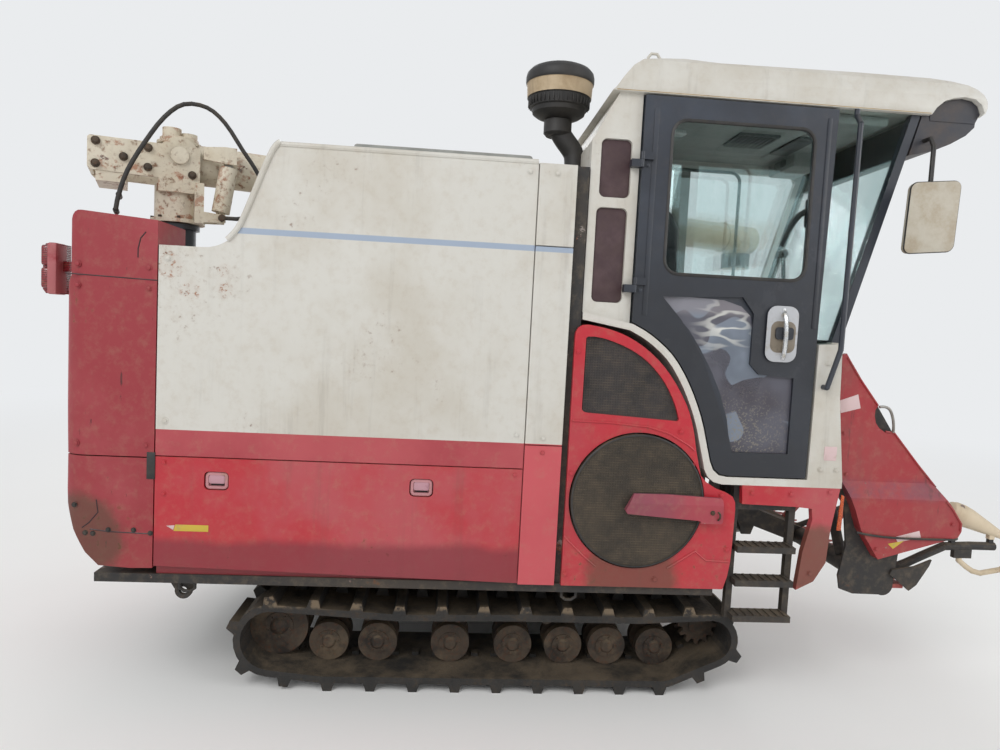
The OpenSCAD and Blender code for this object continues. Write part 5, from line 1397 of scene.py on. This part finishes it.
class HARVESTER_OT_auger_trim(bpy.types.Operator):
    """Adds the flanges, bolts and clamps of the unloading auger"""

    bl_idname = "harvester.auger_trim"
    bl_label = "Unloading auger"

    def execute(self, context):
        turn = math.radians(22)
        along = Vector((math.cos(turn), math.sin(turn), 0))
        aside = Vector((-math.sin(turn), math.cos(turn), 0))
        foot = Vector((-1.815, -0.5, 0))

        def at(u, v, z):
            return foot + along * u + aside * v + Vector((0, 0, z))

        pin_z, boom_z = 2.235, 2.225
        heads = []
        for u, z in ((-0.31, 2.16), (-0.31, 2.25), (-0.21, 2.2), (-0.12, 2.17), (-0.12, 2.25),
                     (0.05, 2.16)):
            start = at(u, -0.112, z)
            heads.append(drum(start, start - aside * 0.008, 0.017, 20))
            heads.append(drum(start - aside * 0.008, start - aside * 0.02, 0.0115, 6, 0.0015))
        for k in range(8):
            a = math.tau * k / 8
            start = at(math.cos(a) * 0.102, math.sin(a) * 0.102, 1.976)
            heads.append(drum(start, start + Vector((0, 0, 0.01)), 0.0075, 6, 0.001))
        heads.append(drum(at(0.166, -0.173, 1.985), at(0.166, -0.1985, 1.985), 0.0145, 20, 0.002))
        dress(join(heads), "elbow_bolts", "rusty iron", "turret")
        lead = tube([at(0.311, -0.19, 2.02), at(0.272, -0.19, 1.997), at(0.225, -0.1885, 1.987),
                     at(0.17, -0.1875, 1.985)], 0.0088)
        dress(lead, "hose_lead", "hose", "turret")
        cap = drum(at(0, -0.1205, pin_z), at(0, -0.128, pin_z), 0.036, 32, 0.003)
        dress(cap, "elbow_pin_cap", "auger cream", "boom")
        rings = []
        for u in (0.46, 0.9, 1.75, 2.6, 3.14):
            ring = turned([(0.0855, -0.011), (0.0935, -0.009), (0.0935, 0.009), (0.0855, 0.011)],
                          (0, 0, 0), steps=48)
            aim(ring, along)
            ring.location = at(u, 0, boom_z)
            rings.append(set_down(ring))
        dress(join(rings), "boom_bands", "auger cream", "boom")
        sleeve = turned([(0.0805, -0.19), (0.086, -0.19), (0.088, -0.1), (0.086, -0.096),
                         (0.0805, -0.096)], at(3.27, 0, boom_z), steps=40)
        dress(sleeve, "spout_sleeve", "hose", "boom")
        return {"FINISHED"}


class HARVESTER_OT_header_trim(bpy.types.Operator):
    """Adds the header covers' folds, labels, loop, cable and bolts and the tine chains"""

    bl_idname = "harvester.header_trim"
    bl_label = "Header"

    def execute(self, context):
        y, upper = -0.85, -0.824
        rim = [(1.113, 1.528), (1.18, 1.434), (1.266, 1.328)]
        front = [(1.312, 1.214), (1.352, 1.21), (1.472, 1.075), (1.564, 0.978)]
        nose = [(1.603, 0.92), (1.634, 0.886), (1.679, 0.824), (1.679, 0.79)]
        folds = [tube(on_side(line, place - 0.001), 0.0045, 8)
                 for line, place in ((rim, upper), (front, upper), (nose, y))]
        dress(join(folds), "cover_folds", "header red", "header")
        places = [(1.125, upper, 1.2), (1.15, upper, 1.02), (1.64, y, 0.82), (1.3, y, 0.7)]
        dress(bolts(places, radius=SMALL_BOLT), "header_cover_bolts", "header red", "header")
        loop = tube([(1.265, -0.84, 1.322), (1.306, -0.84, 1.329), (1.326, -0.84, 1.293),
                     (1.34, -0.836, 1.25), (1.345, -0.828, 1.212)], 0.006, 10, True)
        dress(loop, "cover_loop", "steel", "header")
        line = tube([(1.199, -0.857, 0.774), (1.283, -0.857, 0.756), (1.451, -0.857, 0.751),
                     (1.641, -0.857, 0.753), (1.68, -0.845, 0.75), (1.72, -0.775, 0.742)],
                    0.005, 8, True)
        dress(line, "header_cable", "hose", "header")
        high = [(1.088, 1.339), (1.174, 1.371), (1.19, 1.311), (1.103, 1.287)]
        low = [(1.38, 0.756), (1.49, 0.787), (1.5, 0.757), (1.396, 0.733)]
        dress(join([sticker(high, upper), sticker(low, y)]), "blank_header_labels", "pale label",
              "header")
        tag = sticker([(1.351, 0.725), (1.424, 0.741), (1.376, 0.703)], y, 0.0014)
        dress(tag, "blank_small_label", "yellow label", "header")
        foot, head = Vector((1.59, 0, 0.76)), Vector((1.225, 0, 1.27))
        run = (head - foot).normalized()
        out = Vector((run.z, 0, -run.x))
        plate = block((-0.017, -0.004, -0.008), (0.017, 0.004, 0.008), 0.0025)
        aim(plate, run, "X")
        cases = (-0.56, -0.192, 0.192, 0.56)
        links, pitch, lift, half_width = 17, 0.0365, 0.0605, 0.0125
        places = [foot + run * (0.02 + pitch * k) + out * lift + Vector((0, side + offset, 0))
                  for side in cases for k in range(links) for offset in (-half_width, half_width)]
        dress(copied(plate, places), "tine_chain_links", "rusty iron", "header")
        rollers = []
        for side in cases:
            for centre in (foot, head):
                rollers.append(turned([(0.0, -0.041), (0.03, -0.041), (0.033, -0.038),
                                       (0.033, 0.038), (0.03, 0.041), (0.0, 0.041)],
                                      centre + Vector((0, side, 0)), "Y", 32))
        dress(join(rollers), "tine_case_bearings", "steel", "header")
        return {"FINISHED"}


class HARVESTER_OT_underside_trim(bpy.types.Operator):
    """Adds the roller caps, ladder treads, skirt reflector and side bolts"""

    bl_idname = "harvester.underside_trim"
    bl_label = "Tracks, ladder and skirt"

    def execute(self, context):
        wheelbase, start = 1.902, -1.29
        shares = (0.115, 0.228, 0.398, 0.547, 0.668, 0.774, 0.891)
        rollers = [start + wheelbase * share for share in shares]
        caps, nuts = [], []
        for side in (-1, 1):
            face = side * 0.65
            wheels = [(x, 0.151, 0.05) for x in rollers] + [(start, 0.215, 0.062)]
            for x, z, r in wheels:
                cap = turned([(0.0, 0.014), (r * 0.45, 0.012), (r * 0.62, 0.004), (r, 0.004),
                              (r, -0.004), (0.0, -0.004)], (0, 0, 0), "Y", 28)
                cap.rotation_euler = (0, 0, 0 if side < 0 else math.pi)
                cap.location = (x, face, z)
                caps.append(set_down(cap))
                for k in range(5):
                    a = math.tau * k / 5 + x * 7
                    p = Vector((x + math.cos(a) * r * 0.78, face + side * 0.003,
                                z + math.sin(a) * r * 0.78))
                    nuts.append(drum(p, p + Vector((0, side * 0.007, 0)), 0.006, 6))
        dress(join(caps), "roller_caps", "rusty iron")
        dress(join(nuts), "roller_bolts", "rusty iron")
        rims = []
        for side in (-1, 1):
            for x in rollers:
                for s in (0.0352, 0.0748):
                    y = side * 0.575 + side * s
                    rims.append(turned([(0.074, -0.0006), (0.081, -0.0006), (0.081, 0.0006),
                                        (0.074, 0.0006)], (x, y, 0.151), "Y", 40))
        dress(join(rims), "roller_rims", "rusty iron")
        treads = []
        low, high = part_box("ladder")
        for z in (0.7165, 0.5715, 0.4185):
            for k in range(7):
                treads.append(block((low.x + 0.04 + k * 0.034, -0.922, z - 0.001),
                                    (low.x + 0.052 + k * 0.034, -0.845, z + 0.0035), 0.001))
        dress(join(treads), "ladder_treads", "frame")
        reflector = slab([(1.08, 0.792), (1.1, 0.792), (1.103, 0.94), (1.09, 0.947)],
                         DOOR_FACE - 0.006, DOOR_FACE, edge=0.0015)
        dress(reflector, "skirt_reflector", "reflector")
        places = [(0.7, 0.94), (0.87, 0.94), (1.04, 0.955), (0.98, 0.6)]
        dress(bolts(on_side(places, DOOR_FACE)), "skirt_bolts", "skirt red")
        return {"FINISHED"}


class HARVESTER_OT_left_side(bpy.types.Operator):
    """Adds the ribs, latches, chain links and bolts of the threshing side and the cutter"""

    bl_idname = "harvester.left_side"
    bl_label = "Threshing side"

    def execute(self, context):
        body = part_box("thresher_body")
        y = body[1].y
        folds = []
        for x in (-1.32, -0.72, -0.12):
            folds.append(slab(oblong(x, 0.62, x + 0.012, 1.02, 0.004, 2), y, y + 0.006,
                              edge=0.0015))
        folds.append(slab(oblong(-1.66, 0.59, 0.36, 0.602, 0.004, 2), y, y + 0.006, edge=0.0015))
        dress(join(folds), "thresher_folds", "red")
        places = [(x, y, z) for x in (-1.64, -1.05, -0.45, 0.15, 0.36) for z in (0.65, 0.98)]
        dress(bolts(places, "+Y"), "thresher_bolts", "red")
        latches = []
        for x in (-1.02, -0.42, 0.18):
            latches.append(slab(oblong(x - 0.035, 0.84, x + 0.035, 0.9, 0.012), y, y + 0.012,
                                edge=0.003))
            latches.append(tube([(x + u, y + v, 0.87) for u, v in (
                (-0.022, 0.01), (-0.022, 0.024), (0.022, 0.024), (0.022, 0.01))], 0.005, 8))
        dress(join(latches), "thresher_latches", "black plastic")
        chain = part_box("feed_chain")
        plate = slab(oblong(-0.024, -0.0075, 0.024, 0.0075, 0.0072, 4), -0.0028, 0.0, edge=0.0006)
        places, links, pitch = [], 52, 0.0402
        for k in range(links):
            x, y = chain[0].x + 0.05 + k * pitch, chain[1].y + 0.0028 + k % 2 * 0.0024
            places += [(x, y, z) for z in (1.115, 1.045)]
        dress(copied(plate, places), "feed_chain_links", "rusty iron")
        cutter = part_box("straw_cutter")
        slats = []
        for k in range(9):
            z = 0.86 + k * 0.04
            slats.append(block((cutter[0].x - 0.004, -0.2, z),
                               (cutter[0].x + 0.004, 0.55, z + 0.02)))
        dress(join(slats), "cutter_louvres", "red")
        places = [(cutter[0].x, yy, z) for yy in (-0.35, 0.72) for z in (0.85, 1.02, 1.17)]
        dress(bolts(places, "-X"), "cutter_bolts", "red")
        return {"FINISHED"}


class HARVESTER_OT_stage(bpy.types.Operator):
    """Sets the pale floor, the soft light and the camera at the photograph's angle"""

    bl_idname = "harvester.stage"
    bl_label = "Stage, light and camera"

    def execute(self, context):
        s = sizes()
        bpy.ops.mesh.primitive_grid_add(x_subdivisions=4, y_subdivisions=4, size=FLOOR_SIZE)
        floor = bpy.context.object
        floor.name = "studio_floor"
        pale = tint(234, 236, 238)
        ground = Finish("studio floor", Roughness=0.9)
        grain = ground.noise(0.6, 6, 0.6)
        ground.set("Base Color", ground.blend(grain, tint(243, 243, 241), tint(248, 248, 247)))
        rays = ground.node("ShaderNodeLightPath", output="Is Camera Ray")
        far = (1 - ground.near((0, 0, 0), 12.0)) * rays
        glow = ground.node("ShaderNodeEmission", {}, {"Color": pale + (1.0,)})
        surface = Value(ground, ground.shader.outputs[0])
        faded = ground.node("ShaderNodeMixShader", {}, {0: far, 1: surface, 2: glow})
        ground.tree.links.new(faded.socket, ground.output.inputs["Surface"])
        floor.data.materials.append(ground.material)
        world = bpy.data.worlds.new("studio")
        context.scene.world = world
        world.use_nodes = True
        tree = world.node_tree
        tree.nodes.clear()
        light = tree.nodes.new("ShaderNodeBackground")
        light.inputs["Color"].default_value = (1.0, 1.0, 1.0, 1.0)
        light.inputs["Strength"].default_value = SKY_LIGHT
        backdrop = tree.nodes.new("ShaderNodeBackground")
        backdrop.inputs["Color"].default_value = pale + (1.0,)
        backdrop.inputs["Strength"].default_value = 1.0
        rays = tree.nodes.new("ShaderNodeLightPath")
        shown = rays.outputs["Is Camera Ray"]
        for kind in ("Is Transmission Ray", "Is Glossy Ray"):
            seen = tree.nodes.new("ShaderNodeMath")
            seen.operation = "MAXIMUM"
            tree.links.new(shown, seen.inputs[0])
            tree.links.new(rays.outputs[kind], seen.inputs[1])
            shown = seen.outputs[0]
        either = tree.nodes.new("ShaderNodeMixShader")
        out = tree.nodes.new("ShaderNodeOutputWorld")
        tree.links.new(shown, either.inputs[0])
        tree.links.new(light.outputs[0], either.inputs[1])
        tree.links.new(backdrop.outputs[0], either.inputs[2])
        tree.links.new(either.outputs[0], out.inputs["Surface"])
        for name, place, size, power in (
            ("key", (-5.0, -8.0, 7.5), 5.0, 440),
            ("fill", (7.0, -5.0, 4.0), 5.0, 175),
            ("back", (0.0, 8.0, 6.0), 6.0, 245),
        ):
            bpy.ops.object.light_add(type="AREA", location=place)
            lamp = bpy.context.object
            lamp.name = name
            lamp.data.size = size
            lamp.data.energy = power
            aim(lamp, LIGHTS_AIM - Vector(place), "-Z")
        bpy.ops.object.camera_add(location=(s.camera_x, -s.camera_distance, s.camera_height))
        camera = bpy.context.object
        yaw, pitch, roll = (math.radians(a) for a in CAMERA_ANGLES)
        look = Vector((math.sin(yaw) * math.cos(pitch), math.cos(yaw) * math.cos(pitch),
                       math.sin(pitch)))
        level = Vector((math.cos(yaw), -math.sin(yaw), 0))
        rise = level.cross(look)
        right = level * math.cos(roll) + rise * math.sin(roll)
        up = rise * math.cos(roll) - level * math.sin(roll)
        turn = camera.matrix_world.copy()
        for row in range(3):
            turn[row][0], turn[row][1], turn[row][2] = right[row], up[row], -look[row]
        camera.matrix_world = turn
        camera.data.lens = s.lens
        camera.data.sensor_width = 36
        context.scene.camera = camera
        context.scene.view_settings.view_transform = "Standard"
        return {"FINISHED"}


class HARVESTER_PT_dressing(bpy.types.Panel):
    """Lists the colours, the sizes and the steps that dress the harvester"""

    bl_idname = "HARVESTER_PT_dressing"
    bl_label = "Harvester"
    bl_space_type = "VIEW_3D"
    bl_region_type = "UI"
    bl_category = "Harvester"

    def draw(self, context):
        for group in (colours(), sizes()):
            for name in group.__annotations__:
                self.layout.prop(group, name)
        for step in STEPS:
            self.layout.operator(step.bl_idname)


STEPS = (
    HARVESTER_OT_stage,
    HARVESTER_OT_paint_solids,
    HARVESTER_OT_panel_trim,
    HARVESTER_OT_rear_trim,
    HARVESTER_OT_engine_side,
    HARVESTER_OT_precleaner_trim,
    HARVESTER_OT_door_trim,
    HARVESTER_OT_cab_inside,
    HARVESTER_OT_seat,
    HARVESTER_OT_cab_shell,
    HARVESTER_OT_cab_outside,
    HARVESTER_OT_auger_trim,
    HARVESTER_OT_header_trim,
    HARVESTER_OT_underside_trim,
    HARVESTER_OT_left_side,
)
CLASSES = (HarvesterColours, HarvesterSizes) + STEPS + (HARVESTER_PT_dressing,)


def register():
    for made in CLASSES:
        bpy.utils.register_class(made)
    bpy.types.Scene.harvester_colours = bpy.props.PointerProperty(type=HarvesterColours)
    bpy.types.Scene.harvester_sizes = bpy.props.PointerProperty(type=HarvesterSizes)


def unregister():
    del bpy.types.Scene.harvester_sizes
    del bpy.types.Scene.harvester_colours
    for made in reversed(CLASSES):
        bpy.utils.unregister_class(made)


def main():
    register()
    for step in STEPS:
        group, name = step.bl_idname.split(".")
        getattr(getattr(bpy.ops, group), name)()


if __name__ == "__main__":
    main()
